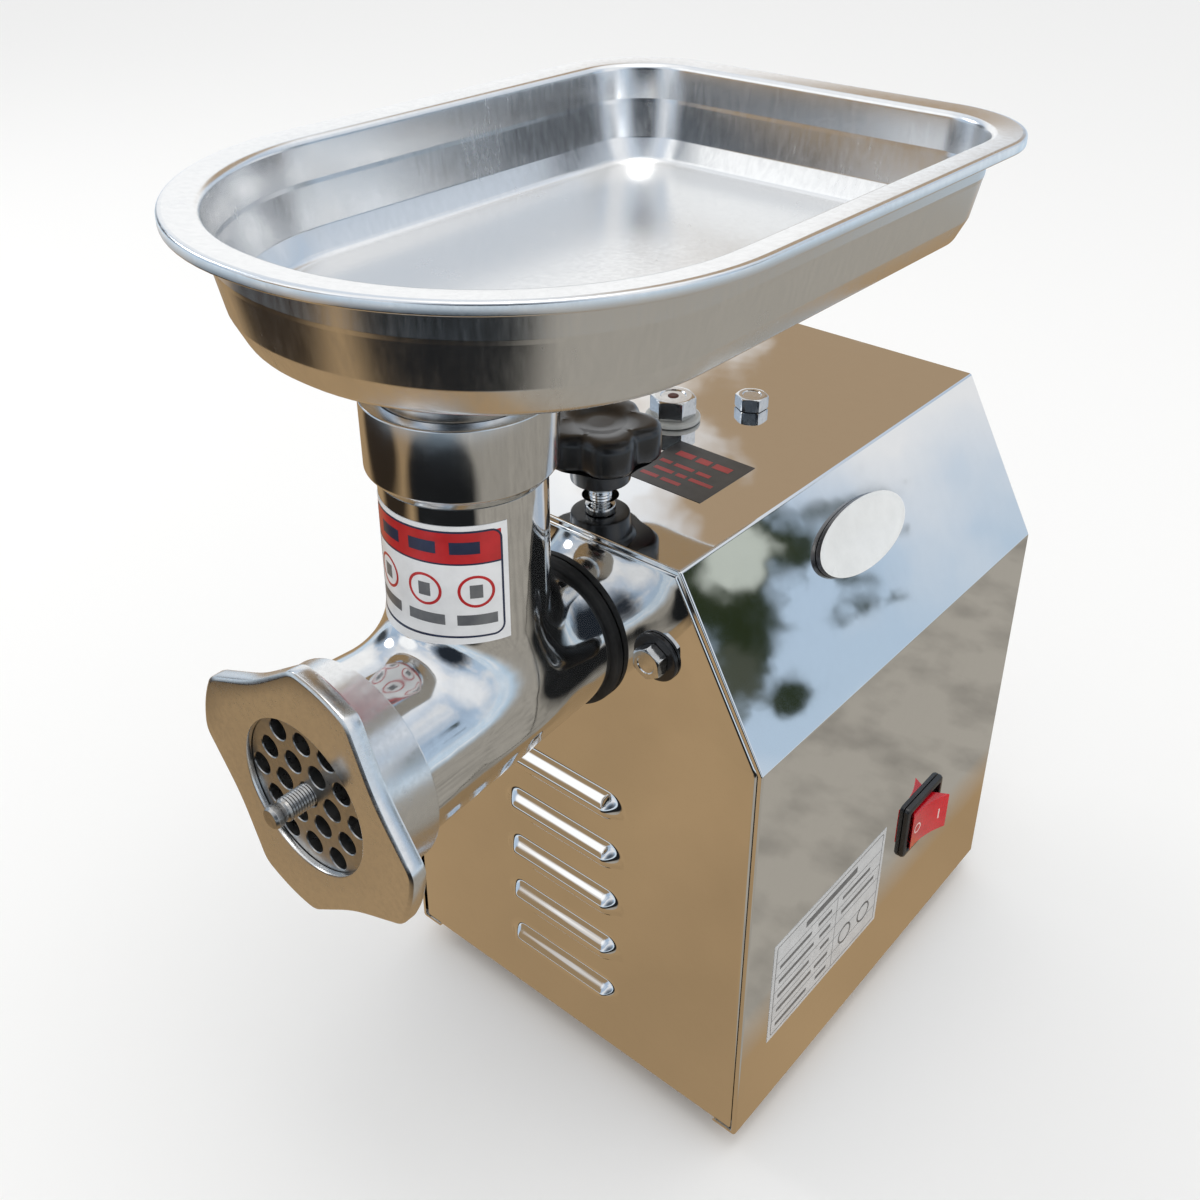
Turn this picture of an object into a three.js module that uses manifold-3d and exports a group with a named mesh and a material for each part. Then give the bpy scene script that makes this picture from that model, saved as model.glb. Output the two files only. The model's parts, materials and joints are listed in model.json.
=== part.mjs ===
// Countertop electric meat grinder with a number 12 grinding head.
// Millimetres, +Z up. X is across the machine, -Y is its front, z = 0 is the table.
import * as THREE from 'three';
import { mergeVertices } from 'three/addons/utils/BufferGeometryUtils.js';
import Module from 'manifold-3d';

const wasm = await Module();
wasm.setup();

// Driving dimensions. The machine is laid out about the centre of its casing.
const footHeight = 12;
const coverHalf = 107;
const coverTop = 312;
const coverTopHalf = 63;
const chamferLowZ = 233.5;
const frontY = -123;
const rearY = 123;
const sheet = 1.2;
const gap = 0.3;

const axisZ = 257.5;
const shoulderY = -127.3;
const ringFrontY = -263.1;
const studTipY = -277.5;
const neckY = -175;
const neckRadius = 31.8;
const neckBore = 27.5;
const collarRadius = 36.3;
const collarLowZ = 359;
const collarTopZ = 390;
const socketRadius = 30.3;
const socketFloorZ = 364;

const plateRadius = 35;
const plateHolePitch = 13.3;
const plateHoleRadius = 4.6;
const augerPitch = 30;

const trayHalfWidth = 114;
const trayFrontY = -264;
const trayRearY = 62;
const trayFrontCorner = 112;
const trayRearCorner = 48;
const trayRimZ = 459;
const trayFloorZ = 413.5;
const trayWall = 1.2;

const knobY = -96;
const knobBottomZ = 320;
const knobSkirtRadius = 13.8;
const knobLobes = 5;

const gearModule = 1.5;
const outputTeeth = 51;
const counterPinionTeeth = 17;
const counterTeeth = 42;
const motorPinionTeeth = 14;
const pressureAngle = 25 * Math.PI / 180;
const backlash = 0.3;
const counterZ = axisZ - gearModule * (outputTeeth + counterPinionTeeth) / 2;
const motorZ = counterZ - gearModule * (counterTeeth + motorPinionTeeth) / 2;

const rockerTilt = 11 * Math.PI / 180;
const switchY = 36;
const switchZ = footHeight + 90.3;
const rockerCrestX = 117;
const glandX = 60;
const glandZ = 52;
const glandEndY = 137.5;

// Where things stand along and across the machine.
const baseThickness = 1.6;
const baseTopZ = footHeight + sheet + gap + baseThickness;
const breatherX = -21;
const breatherY = -18;
const topBoltY = 17;
const boltX = 53;
const boltZ = axisZ + 10;
const boltClearance = 4.4;
const caseFrontY = -90;
const caseSplitY = -34;
const caseRearY = -20;
const caseWall = 5;
const sealOuter = 17;
const frontBearingY = -83.7;
const rearBearingY = -33.7;
const motorCanRadius = 58;
const motorFrontY = -13.7;
const motorRearY = 70;
const statorRearY = 51;
const capacitorRadius = 17;
const capacitorX = 76;

// The origin is the middle of the whole machine's box, at table height.
const centreX = (rockerCrestX - trayHalfWidth) / 2;
const centreY = (glandEndY + studTipY) / 2;

// Colours and finishes.
const mirrorSteel = { color: 0xd2d4d6, roughness: 0.08, metalness: 1 };
const satinSteel = { color: 0xb8babb, roughness: 0.32, metalness: 1 };
const castSteel = { color: 0xc4c6c8, roughness: 0.18, metalness: 1 };
const castAlloy = { color: 0x9a9c9e, roughness: 0.5, metalness: 1 };
const gearSteel = { color: 0x7d7f82, roughness: 0.35, metalness: 1 };
const lamination = { color: 0x5c5e60, roughness: 0.6, metalness: 1 };
const copper = { color: 0xa8552a, roughness: 0.4, metalness: 1 };
const blackPlastic = { color: 0x101011, roughness: 0.25, metalness: 0 };
const blackRubber = { color: 0x141414, roughness: 0.8, metalness: 0 };
const redPlastic = { color: 0xc00d18, roughness: 0.2, metalness: 0 };
const whitePlastic = { color: 0xeeeeea, roughness: 0.3, metalness: 0 };
const greyPlastic = { color: 0x8d9094, roughness: 0.5, metalness: 0 };

const machine = new THREE.Group();
machine.position.set(-centreX, -centreY, 0);

function add(name, geometry, finish) {
  const mesh = new THREE.Mesh(geometry, new THREE.MeshStandardMaterial(finish));
  mesh.name = name;
  machine.add(mesh);
}

// Booleans. A geometry becomes a solid, and a solid becomes a geometry again.
function signedVolume(positions, triangles) {
  let sum = 0;
  const corner = [0, 1, 2].map(() => new THREE.Vector3());
  for (let i = 0; i < triangles.length; i += 3) {
    corner.forEach((v, k) => v.fromArray(positions, 3 * triangles[i + k]));
    sum += corner[0].dot(corner[1].cross(corner[2]));
  }
  return sum / 6;
}

function solid(geometry) {
  const bare = geometry.clone();
  bare.deleteAttribute('normal');
  bare.deleteAttribute('uv');
  const merged = mergeVertices(bare, 1e-3);
  const vertProperties = new Float32Array(merged.attributes.position.array);
  const kept = [];
  const index = merged.index.array;
  for (let i = 0; i < index.length; i += 3) {
    const [a, b, c] = [index[i], index[i + 1], index[i + 2]];
    if (a !== b && b !== c && c !== a) kept.push(a, b, c);
  }
  const triVerts = new Uint32Array(kept);
  if (signedVolume(vertProperties, triVerts) < 0) {
    for (let i = 0; i < triVerts.length; i += 3) {
      [triVerts[i + 1], triVerts[i + 2]] = [triVerts[i + 2], triVerts[i + 1]];
    }
  }
  return new wasm.Manifold(new wasm.Mesh({ numProp: 3, vertProperties, triVerts }));
}

function geometryOf(manifold) {
  const mesh = manifold.getMesh();
  const geometry = new THREE.BufferGeometry();
  geometry.setAttribute('position', new THREE.BufferAttribute(mesh.vertProperties, 3));
  geometry.setIndex(new THREE.BufferAttribute(mesh.triVerts, 1));
  return geometry;
}

const joined = (parts) => parts.slice(1).reduce((sum, part) => sum.add(part), parts[0]);
const cut = (body, tools) => tools.reduce((rest, tool) => rest.subtract(tool), body);

// Building blocks, each returned as a solid.
function box(x0, x1, y0, y1, z0, z1) {
  const geometry = new THREE.BoxGeometry(x1 - x0, y1 - y0, z1 - z0);
  geometry.translate((x0 + x1) / 2, (y0 + y1) / 2, (z0 + z1) / 2);
  return solid(geometry);
}

// Turned about a line parallel to Y: the profile holds [radius, y] points.
function turnedY(profile, x, z, segments = 18) {
  const points = profile.map(([r, y]) => new THREE.Vector2(r, y));
  const geometry = new THREE.LatheGeometry(points, segments);
  geometry.translate(x, 0, z);
  return solid(geometry);
}

// Turned about a line parallel to Z: the profile holds [radius, z] points.
function turnedZ(profile, x, y, segments = 18) {
  const points = profile.map(([r, z]) => new THREE.Vector2(r, z));
  const geometry = new THREE.LatheGeometry(points, segments);
  geometry.rotateX(Math.PI / 2);
  geometry.translate(x, y, 0);
  return solid(geometry);
}

const rodY = (r, y0, y1, x, z, segments) => turnedY([[0, y0], [r, y0], [r, y1], [0, y1]], x, z, segments);
const rodZ = (r, z0, z1, x, y, segments) => turnedZ([[0, z0], [r, z0], [r, z1], [0, z1]], x, y, segments);

function ringY(inner, outer, y0, y1, x, z, segments) {
  return turnedY([[inner, y0], [outer, y0], [outer, y1], [inner, y1], [inner, y0]], x, z, segments);
}

function ringZ(inner, outer, z0, z1, x, y, segments) {
  return turnedZ([[inner, z0], [outer, z0], [outer, z1], [inner, z1], [inner, z0]], x, y, segments);
}

// A flat outline of [x, z] points made as thick as y0 to y1.
function plateY(outline, y0, y1) {
  const shape = new THREE.Shape(outline.map(([x, z]) => new THREE.Vector2(x, z)));
  const geometry = new THREE.ExtrudeGeometry(shape, { depth: y1 - y0, bevelEnabled: false });
  geometry.rotateX(Math.PI / 2);
  geometry.translate(0, y1, 0);
  return solid(geometry);
}

// A flat outline of [x, y] points made as high as z0 to z1.
function plateZ(outline, z0, z1) {
  const shape = new THREE.Shape(outline.map(([x, y]) => new THREE.Vector2(x, y)));
  const geometry = new THREE.ExtrudeGeometry(shape, { depth: z1 - z0, bevelEnabled: false });
  geometry.translate(0, 0, z0);
  return solid(geometry);
}

function hexOutline(acrossFlats, x, y) {
  const r = acrossFlats / Math.sqrt(3);
  const corner = (k) => [x + r * Math.cos(k * Math.PI / 3), y + r * Math.sin(k * Math.PI / 3)];
  return [0, 1, 2, 3, 4, 5].map(corner);
}

// The outline round a set of circles [x, z, radius], as a belt would lie.
function beltOutline(circles, steps = 20) {
  const points = circles.flatMap(([x, z, r]) => Array.from({ length: steps }, (_, k) => {
    const angle = 2 * Math.PI * k / steps;
    return [x + r * Math.cos(angle), z + r * Math.sin(angle)];
  }));
  points.sort((a, b) => a[0] - b[0] || a[1] - b[1]);
  const turn = (o, a, b) => (a[0] - o[0]) * (b[1] - o[1]) - (a[1] - o[1]) * (b[0] - o[0]);
  const half = (list) => {
    const chain = [];
    for (const p of list) {
      while (chain.length > 1 && turn(chain.at(-2), chain.at(-1), p) <= 1e-6) chain.pop();
      chain.push(p);
    }
    return chain.slice(0, -1);
  };
  return [...half(points), ...half([...points].reverse())];
}

// Casing: a folded cover, two end panels, a base plate and four feet.
function coverOutline(inset) {
  const run = coverHalf - coverTopHalf;
  const rise = coverTop - chamferLowZ;
  const length = Math.hypot(run, rise);
  const nx = rise / length;
  const nz = run / length;
  const lowZ = chamferLowZ - inset * (1 - nx) / nz;
  const topX = coverTopHalf - inset * (1 - nz) / nx;
  const side = coverHalf - inset;
  return [[side, lowZ], [topX, coverTop - inset], [-topX, coverTop - inset], [-side, lowZ]];
}

function housingCover() {
  const bottom = footHeight;
  const lip = 13;
  const outer = coverOutline(0);
  const inner = coverOutline(sheet).reverse();
  const innerSide = coverHalf - sheet;
  const outline = [
    [coverHalf, bottom], ...outer, [-coverHalf, bottom], [lip - coverHalf, bottom],
    [lip - coverHalf, bottom + sheet], [-innerSide, bottom + sheet],
    ...inner, [innerSide, bottom + sheet], [coverHalf - lip, bottom + sheet], [coverHalf - lip, bottom],
  ];
  const folded = plateY(outline, frontY, rearY);
  const top = coverTop - 5;
  return cut(folded, [
    rodZ(8, top, coverTop + 5, 0, knobY, 24),
    rodZ(8.4, top, coverTop + 5, breatherX, breatherY, 24),
    rodZ(boltClearance, top, coverTop + 5, 0, topBoltY, 20),
    box(coverHalf - 5, coverHalf + 5, switchY - 17, switchY + 17, switchZ - 14, switchZ + 14),
  ]);
}

function panelOutline() {
  const inset = sheet + gap;
  const bottom = footHeight + sheet + gap;
  return [[coverHalf - inset, bottom], ...coverOutline(inset), [inset - coverHalf, bottom]];
}

const louvreZ = [0, 1, 2, 3, 4].map((k) => footHeight + 40 + 30 * k);
const louvreHalf = 38;

// One pressed hood: a rounded bulge, open along its lower half.
function louvreHood(z) {
  const panelFront = frontY + 0.2;
  const capsule = (r) => {
    const geometry = new THREE.CapsuleGeometry(r, 2 * (louvreHalf - 6), 2, 8);
    geometry.rotateZ(Math.PI / 2);
    geometry.translate(0, panelFront + 0.6, z);
    return solid(geometry);
  };
  const shell = capsule(6.5).subtract(capsule(5.3));
  return cut(shell, [
    box(-60, 60, panelFront + 0.6, panelFront + 20, z - 20, z + 20),
    box(-60, 60, panelFront - 20, panelFront + 20, z - 20, z - 2.5),
  ]);
}

function frontPanel() {
  const y0 = frontY + 0.2;
  const sheetSolid = plateY(panelOutline(), y0, y0 + sheet);
  const slot = (z) => box(5.3 - louvreHalf, louvreHalf - 5.3, y0 - 3, y0 + 3, z - 4.9, z + 3.5);
  const holes = [
    rodY(33, y0 - 3, y0 + 3, 0, axisZ),
    rodY(boltClearance, y0 - 3, y0 + 3, boltX, boltZ, 20),
    rodY(boltClearance, y0 - 3, y0 + 3, -boltX, boltZ, 20),
    ...louvreZ.map(slot),
  ];
  return joined([cut(sheetSolid, holes), ...louvreZ.map(louvreHood)]);
}

const rearScrewSpots = [[92, 30], [-92, 30], [52, 298], [-52, 298]];

function rearPanel() {
  const y1 = rearY - 0.2;
  const y0 = y1 - sheet;
  const slotHalf = 2.5;
  const slotPitch = 16;
  const slotLength = 44;
  const slots = [];
  for (const lowZ of [120, 176]) {
    for (let k = 0; k < 6; k += 1) {
      const x = slotPitch * (k - 2.5);
      slots.push(box(x - slotHalf, x + slotHalf, y0 - 2, y1 + 2, lowZ, lowZ + slotLength));
    }
  }
  const screwHoles = rearScrewSpots.map(([x, z]) => rodY(2.4, y0 - 2, y1 + 2, x, z, 16));
  const glandHole = rodY(8.3, y0 - 2, y1 + 2, glandX, glandZ, 24);
  return cut(plateY(panelOutline(), y0, y1), [...slots, ...screwHoles, glandHole]);
}

function rearScrew(x, z) {
  const y = rearY - 0.2;
  const profile = [[0, y - 6], [2.1, y - 6], [2.1, y + 0.1], [4.4, y + 0.1], [3.6, y + 2], [0, y + 2.6]];
  return turnedY(profile, x, z, 10);
}

function basePlate() {
  const z0 = baseTopZ - baseThickness;
  const plate = box(-105.5, 105.5, -121, 121, z0, baseTopZ);
  const slots = [-30, -10, 10, 30].map((x) => box(x - 3, x + 3, 20, 80, z0 - 2, baseTopZ + 2));
  return cut(plate, slots);
}

function foot(x, y) {
  const top = footHeight + sheet;
  return turnedZ([[0, 0], [12.2, 0], [13.4, 1.4], [14, top], [0, top]], x, y, 14);
}

// Gear teeth with involute flanks, thinned for running clearance.
function gearOutline(teeth, phase) {
  const pitchR = gearModule * teeth / 2;
  const baseR = pitchR * Math.cos(pressureAngle);
  const tipR = pitchR + 0.9 * gearModule;
  const rootR = pitchR - 1.2 * gearModule;
  const involute = (r) => {
    const tan = Math.sqrt(Math.max(0, (r / baseR) ** 2 - 1));
    return tan - Math.atan(tan);
  };
  const halfTooth = (r) => Math.PI / (2 * teeth) - backlash / (2 * pitchR) + involute(pitchR) - involute(r);
  const low = Math.max(rootR, baseR);
  const radii = rootR < baseR ? [rootR, baseR, tipR] : [rootR, tipR];
  const points = [];
  for (let k = 0; k < teeth; k += 1) {
    const centre = phase + 2 * Math.PI * k / teeth;
    const up = radii.map((r) => [r, centre - halfTooth(Math.max(r, low))]);
    const down = radii.map((r) => [r, centre + halfTooth(Math.max(r, low))]).reverse();
    points.push(...up, ...down);
  }
  return points.map(([r, a]) => [r * Math.cos(a), r * Math.sin(a)]);
}

function gear(teeth, phase, y0, y1, z, bore) {
  const outline = gearOutline(teeth, phase).map(([x, h]) => [x, h + z]);
  const wheel = plateY(outline, y0, y1);
  return bore ? wheel.subtract(rodY(bore, y0 - 1, y1 + 1, 0, z, 32)) : wheel;
}

// Gearbox: a front casting with the head's socket, and a rear casting for the motor.
const caseCircles = (inset) => [
  [0, axisZ, 46.5 - inset], [0, counterZ, 40.5 - inset], [0, motorZ, 28 - inset],
];

function gearboxFront() {
  const flange = beltOutline([[0, axisZ, 41], [boltX, boltZ, 11], [-boltX, boltZ, 11]]);
  const body = joined([
    plateY(flange, -121.2, -113),
    rodY(38, -114, -80, 0, axisZ, 28),
    plateY(beltOutline(caseCircles(0)), caseFrontY, caseSplitY),
    rodZ(9, 286, 300, 0, knobY, 28),
  ]);
  const sealBore = rodY(sealOuter + gap, caseFrontY - 1, -86, 0, axisZ);
  const shaftBore = rodY(12.6, -87, -80, 0, axisZ);
  const bearingBores = [rodY(21.3, -84, -70, 0, axisZ), rodY(16.3, -82, -70, 0, counterZ)];
  return cut(body, [
    rodY(30.4, -130, caseFrontY, 0, axisZ, 28),
    sealBore,
    shaftBore,
    ...bearingBores,
    plateY(beltOutline(caseCircles(caseWall)), -72, caseSplitY + 4),
    rodZ(5.4, 280, 310, 0, knobY, 24),
    rodY(boltClearance, -130, -100, boltX, boltZ, 20),
    rodY(boltClearance, -130, -100, -boltX, boltZ, 20),
  ]);
}

function gearboxRear() {
  const body = joined([
    plateY(beltOutline(caseCircles(0)), rearBearingY, caseRearY),
    rodZ(10, 262, 305, breatherX, breatherY, 24),
    rodY(40, caseRearY - 1, -14, 0, motorZ, 28),
  ]);
  const bearingEndY = caseRearY - 4;
  return cut(body, [
    rodY(17.8, rearBearingY - 1.3, bearingEndY, 0, axisZ),
    rodY(16.3, rearBearingY - 1.3, bearingEndY, 0, counterZ),
    rodY(17.8, bearingEndY - 1, -10, 0, motorZ),
    rodY(13, -40, caseRearY, 0, motorZ),
    rodZ(6.2, 290, 310, breatherX, breatherY, 20),
  ]);
}

// A bearing as one plain ring.
function bearing(innerR, outerR, y0, y1, z) {
  return ringY(innerR, outerR, y0, y1, 0, z);
}

function outputShaft() {
  const body = turnedY([
    [0, -110], [15.5, -110], [17, -108.5], [17, -93], [11.8, -92], [11.8, -84.3], [9.8, -84.3],
    [9.8, -71.7], [11, -71.7], [11, -53], [10, -53], [10, -35], [8.3, -35], [8.3, -24.5], [0, -24.5],
  ], 0, axisZ);
  return body.subtract(box(-8, 8, -120, -94.5, axisZ - 8, axisZ + 8));
}

function counterShaft() {
  const shaft = turnedY([
    [0, -81.5], [5.8, -81.5], [5.8, -72], [8, -71.5], [8, -52.5], [8, -38.5], [7, -35], [5.8, -34.5],
    [5.8, -24.5], [0, -24.5],
  ], 0, counterZ);
  const phase = Math.PI / 2 + Math.PI / counterPinionTeeth;
  return shaft.add(gear(counterPinionTeeth, phase, -69.5, -52.8, counterZ));
}

function motorShaft() {
  return turnedY([
    [0, -38], [6, -38], [6, -32.5], [7.3, -32], [7.3, 70], [5.8, 71], [5.8, 94], [0, 94],
  ], 0, motorZ);
}

function rotorCore() {
  const body = ringY(7.6, 29.6, -2, 52, 0, motorZ);
  const endRing = (y0, y1) => ringY(18, 28.5, y0, y1, 0, motorZ);
  return joined([body, endRing(-7, -1), endRing(51, 57)]);
}

function fan() {
  const hub = ringY(6.1, 12, 76, 92, 0, motorZ, 28);
  const disc = ringY(11, 42, 76, 78, 0, motorZ);
  const blades = [];
  for (let k = 0; k < 6; k += 1) {
    const blade = new THREE.BoxGeometry(31, 13, 2);
    blade.translate(27, 84, 0);
    blade.rotateY(2 * Math.PI * k / 6);
    blade.translate(0, 0, motorZ);
    blades.push(solid(blade));
  }
  return joined([hub, disc, ...blades]);
}

function motorCan() {
  const tube = ringY(54.5, motorCanRadius, motorFrontY, motorRearY, 0, motorZ, 28);
  const nose = ringY(40.4, 55.5, motorFrontY, -10.5, 0, motorZ, 28);
  return tube.add(nose);
}

function statorCore() {
  const ring = ringY(30.4, 54.2, -1, statorRearY, 0, motorZ, 28);
  const slots = [];
  for (let k = 0; k < 12; k += 1) {
    const slot = new THREE.BoxGeometry(14, 60, 5);
    slot.translate(38.5, 25, 0);
    slot.rotateY(2 * Math.PI * k / 12);
    slot.translate(0, 0, motorZ);
    slots.push(solid(slot));
  }
  return cut(ring, slots);
}

function winding(y0, y1) {
  const bulge = (y1 - y0) / 3;
  return turnedY([
    [33, y0], [48, y0], [50, y0 + bulge], [48, y1], [33, y1], [33, y0],
  ], 0, motorZ);
}

function motorRearBell() {
  const disc = joined([
    ringY(13, motorCanRadius, motorRearY + gap, 74, 0, motorZ, 28),
    ringY(17.8, 22, 61.5, motorRearY + 1, 0, motorZ, 24),
  ]);
  const vents = [];
  for (let k = 0; k < 6; k += 1) {
    const vent = new THREE.BoxGeometry(16, 10, 9);
    vent.translate(38, 72, 0);
    vent.rotateY(2 * Math.PI * (k + 0.5) / 6);
    vent.translate(0, 0, motorZ);
    vents.push(solid(vent));
  }
  return cut(disc, vents);
}

// A folded saddle that carries the motor on the base plate.
function motorBracket() {
  const z0 = baseTopZ + gap;
  const half = 48;
  const wall = 3;
  const body = joined([
    box(-half, half, 10, 50, z0, z0 + 2.5),
    box(-half, wall - half, 10, 50, z0, motorZ - 20),
    box(half - wall, half, 10, 50, z0, motorZ - 20),
    box(-half, half, 22, 38, z0, motorZ - 54),
  ]);
  return body.subtract(rodY(motorCanRadius + gap, 0, 60, 0, motorZ, 28));
}

function coverPost() {
  const low = motorZ + motorCanRadius + gap;
  const top = coverTop - sheet - gap;
  const threadDepth = 26;
  return turnedZ([
    [0, low], [7, low], [7, top], [boltClearance, top], [boltClearance, top - threadDepth],
    [0, top - threadDepth],
  ], 0, topBoltY, 24);
}

// Hexagon bolt along Z, head up.
function hexBoltZ(across, headZ, headHeight, shankR, length, x, y) {
  const head = plateZ(hexOutline(across, x, y), headZ, headZ + headHeight);
  return head.add(rodZ(shankR, headZ - length, headZ + 1, x, y, 20));
}

// Hexagon bolt along Y, head to the front.
function hexBoltY(across, headY, headHeight, shankR, length, x, z) {
  const head = plateY(hexOutline(across, x, z), headY - headHeight, headY);
  return head.add(rodY(shankR, headY - 1, headY + length, x, z, 20));
}

// Electrical pieces.
function switchBody() {
  const block = (x0, x1, halfY, halfZ) => (
    box(x0, x1, switchY - halfY, switchY + halfY, switchZ - halfZ, switchZ + halfZ)
  );
  const frame = block(coverHalf + gap, coverHalf + 3, 18.8, 16.3);
  const body = block(coverHalf - 26, coverHalf + 1, 16.6, 13.6);
  const well = block(coverHalf - 9, coverHalf + 9, 15.4, 12.9);
  const terminals = [switchY - 9, switchY + 9].map((y) => (
    box(coverHalf - 34, coverHalf - 25, y - 0.5, y + 0.5, switchZ - 3, switchZ + 3)
  ));
  return joined([frame, body, ...terminals]).subtract(well);
}

// The rocker turns on an upright pin through its own centre.
const rockerPivotX = coverHalf + 0.5;
const rockerHalf = 14.4;

function rocker() {
  const shape = new THREE.Shape();
  const reach = 11.2;
  const heelRadius = 6.5;
  const hollow = 4;
  const swing = rockerHalf * Math.sin(rockerTilt);
  const face = (rockerCrestX - rockerPivotX - swing) / Math.cos(rockerTilt);
  shape.moveTo(-heelRadius, -rockerHalf);
  shape.lineTo(face, -rockerHalf);
  shape.quadraticCurveTo(face - hollow, 0, face, rockerHalf);
  shape.lineTo(-heelRadius, rockerHalf);
  shape.absarc(0, 0, heelRadius, Math.PI * 0.75, Math.PI * 1.25, false);
  const extrusion = { depth: 2 * reach, bevelEnabled: false, curveSegments: 8 };
  const geometry = new THREE.ExtrudeGeometry(shape, extrusion);
  geometry.translate(0, 0, -reach);
  geometry.rotateZ(-rockerTilt);
  geometry.translate(rockerPivotX, switchY, switchZ);
  return solid(geometry);
}

function cordGland() {
  return turnedY([
    [4, 112], [11, 112], [11, 121.2], [7.9, 121.2], [7.9, 123.1], [11.5, 123.1], [11.5, 128], [9, 130],
    [7.5, glandEndY], [4, glandEndY], [4, 112],
  ], glandX, glandZ);
}

// Grinding head: a turned barrel joined to the feed neck.
function head() {
  const barrel = turnedY([
    [0, -91], [30, -91], [30, shoulderY], [32.3, shoulderY], [38.3, -234.5], [39.8, -234.5],
    [39.8, -255], [0, -255],
  ], 0, axisZ, 32);
  const neck = turnedZ([
    [0, axisZ], [neckRadius, axisZ], [neckRadius, collarLowZ - 2], [collarRadius, collarLowZ + 2],
    [collarRadius, collarTopZ], [0, collarTopZ],
  ], 0, neckY, 32);
  return cut(barrel.add(neck), [
    turnedY([
      [0, -134], [27, -134], [31.2, -244.3], [34, -244.3], [34, -251.8], [35.3, -251.8],
      [35.3, -256], [0, -256],
    ], 0, axisZ, 28),
    rodY(12.6, -140, -120, 0, axisZ, 24),
    rodY(19.5, -124, -80, 0, axisZ, 24),
    rodZ(neckBore, axisZ, collarTopZ + 5, 0, neckY, 28),
    rodZ(socketRadius, socketFloorZ, collarTopZ + 5, 0, neckY, 28),
  ]);
}

// One closed helical flight, wider at its root, growing towards the plate.
function augerFlight(yRear, yFront, rearR, frontR) {
  const turns = (yRear - yFront) / augerPitch;
  const steps = Math.round(turns * 12);
  const rootR = 8.5;
  const positions = [];
  for (let i = 0; i <= steps; i += 1) {
    const t = i / steps;
    const angle = 2 * Math.PI * turns * t;
    const y = yRear + (yFront - yRear) * t;
    const tipR = rearR + (frontR - rearR) * t;
    for (const [r, dy] of [[rootR, 4.2], [tipR, 1.6], [tipR, -1.6], [rootR, -4.2]]) {
      positions.push(r * Math.cos(angle), y + dy, axisZ + r * Math.sin(angle));
    }
  }
  const index = [];
  for (let i = 0; i < steps; i += 1) {
    for (let k = 0; k < 4; k += 1) {
      const a = 4 * i + k;
      const b = 4 * i + (k + 1) % 4;
      index.push(a, b, b + 4, a, b + 4, a + 4);
    }
  }
  const last = 4 * steps;
  index.push(0, 2, 1, 0, 3, 2, last, last + 1, last + 2, last, last + 2, last + 3);
  const geometry = new THREE.BufferGeometry();
  geometry.setAttribute('position', new THREE.Float32BufferAttribute(positions, 3));
  geometry.setIndex(index);
  return solid(geometry);
}

function auger() {
  const core = turnedY([
    [0, -243.8], [13, -243.8], [13, -238], [9.5, -234], [10.5, -140], [12.2, -134.4], [12.2, -112], [0, -112],
  ], 0, axisZ);
  const tang = box(-7.5, 7.5, -113, -95.5, axisZ - 7.5, axisZ + 7.5);
  const knifeSquare = box(-6.2, 6.2, -251.6, -243, axisZ - 6.2, axisZ + 6.2);
  const flight = augerFlight(-139.5, -238, 25.9, 30.2);
  return joined([core, tang, knifeSquare, flight]).subtract(rodY(5.05, -260, -232, 0, axisZ, 24));
}

function augerStud() {
  return turnedY([
    [0, studTipY], [3.6, studTipY], [4.7, studTipY + 1.2], [4.7, studTipY + 3.5], [3.9, studTipY + 4],
    [3.9, studTipY + 5.5], [4.7, studTipY + 6], [4.7, -233], [0, -233],
  ], 0, axisZ, 14);
}

function knife() {
  const arm = (k) => {
    const blade = new THREE.Shape();
    blade.moveTo(4, -5);
    blade.lineTo(30, -5.5);
    blade.lineTo(30, 3);
    blade.lineTo(4, 6);
    const geometry = new THREE.ExtrudeGeometry(blade, { depth: 6.9, bevelEnabled: false });
    geometry.rotateX(Math.PI / 2);
    geometry.translate(0, -244.7, 0);
    geometry.rotateY(k * Math.PI / 2);
    geometry.translate(0, 0, axisZ);
    return solid(geometry);
  };
  const hub = rodY(12, -251.6, -244.7, 0, axisZ, 28);
  const square = box(-6.6, 6.6, -260, -240, axisZ - 6.6, axisZ + 6.6);
  return joined([hub, arm(0), arm(1), arm(2), arm(3)]).subtract(square);
}

// Round holes in rows of three, four, five, four and three, the middle one for the stud.
function cuttingPlate() {
  const disc = turnedY([
    [0, -260.4], [plateRadius - 0.6, -260.4], [plateRadius, -259.8], [plateRadius, -252.1], [0, -252.1],
  ], 0, axisZ, 28);
  const holes = [rodY(5.1, -262, -250, 0, axisZ, 24)];
  for (let row = -2; row <= 2; row += 1) {
    const count = 5 - Math.abs(row);
    for (let k = 0; k < count; k += 1) {
      const x = plateHolePitch * (k - (count - 1) / 2);
      const z = plateHolePitch * row * Math.sqrt(3) / 2;
      if (row !== 0 || k !== 2) holes.push(rodY(plateHoleRadius, -262, -250, x, axisZ + z, 8));
    }
  }
  return cut(disc, holes);
}

// Four broad lobes with shallow hollows between them.
function ringOutline() {
  const lobeR = 58;
  const hollowR = 47.6;
  const lobeHalf = 15 * Math.PI / 180;
  const points = [];
  for (let k = 0; k < 4; k += 1) {
    const centre = (73 + 90 * k) * Math.PI / 180;
    for (let i = -2; i <= 2; i += 1) points.push([lobeR, centre + lobeHalf * i / 2]);
    for (let i = 1; i < 8; i += 1) {
      const t = i / 8;
      const dip = Math.sin(Math.PI * t) ** 0.8;
      const span = Math.PI / 2 - 2 * lobeHalf;
      points.push([lobeR - (lobeR - hollowR) * dip, centre + lobeHalf + span * t]);
    }
  }
  return points.map(([r, a]) => [r * Math.cos(a), axisZ + r * Math.sin(a)]);
}

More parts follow.
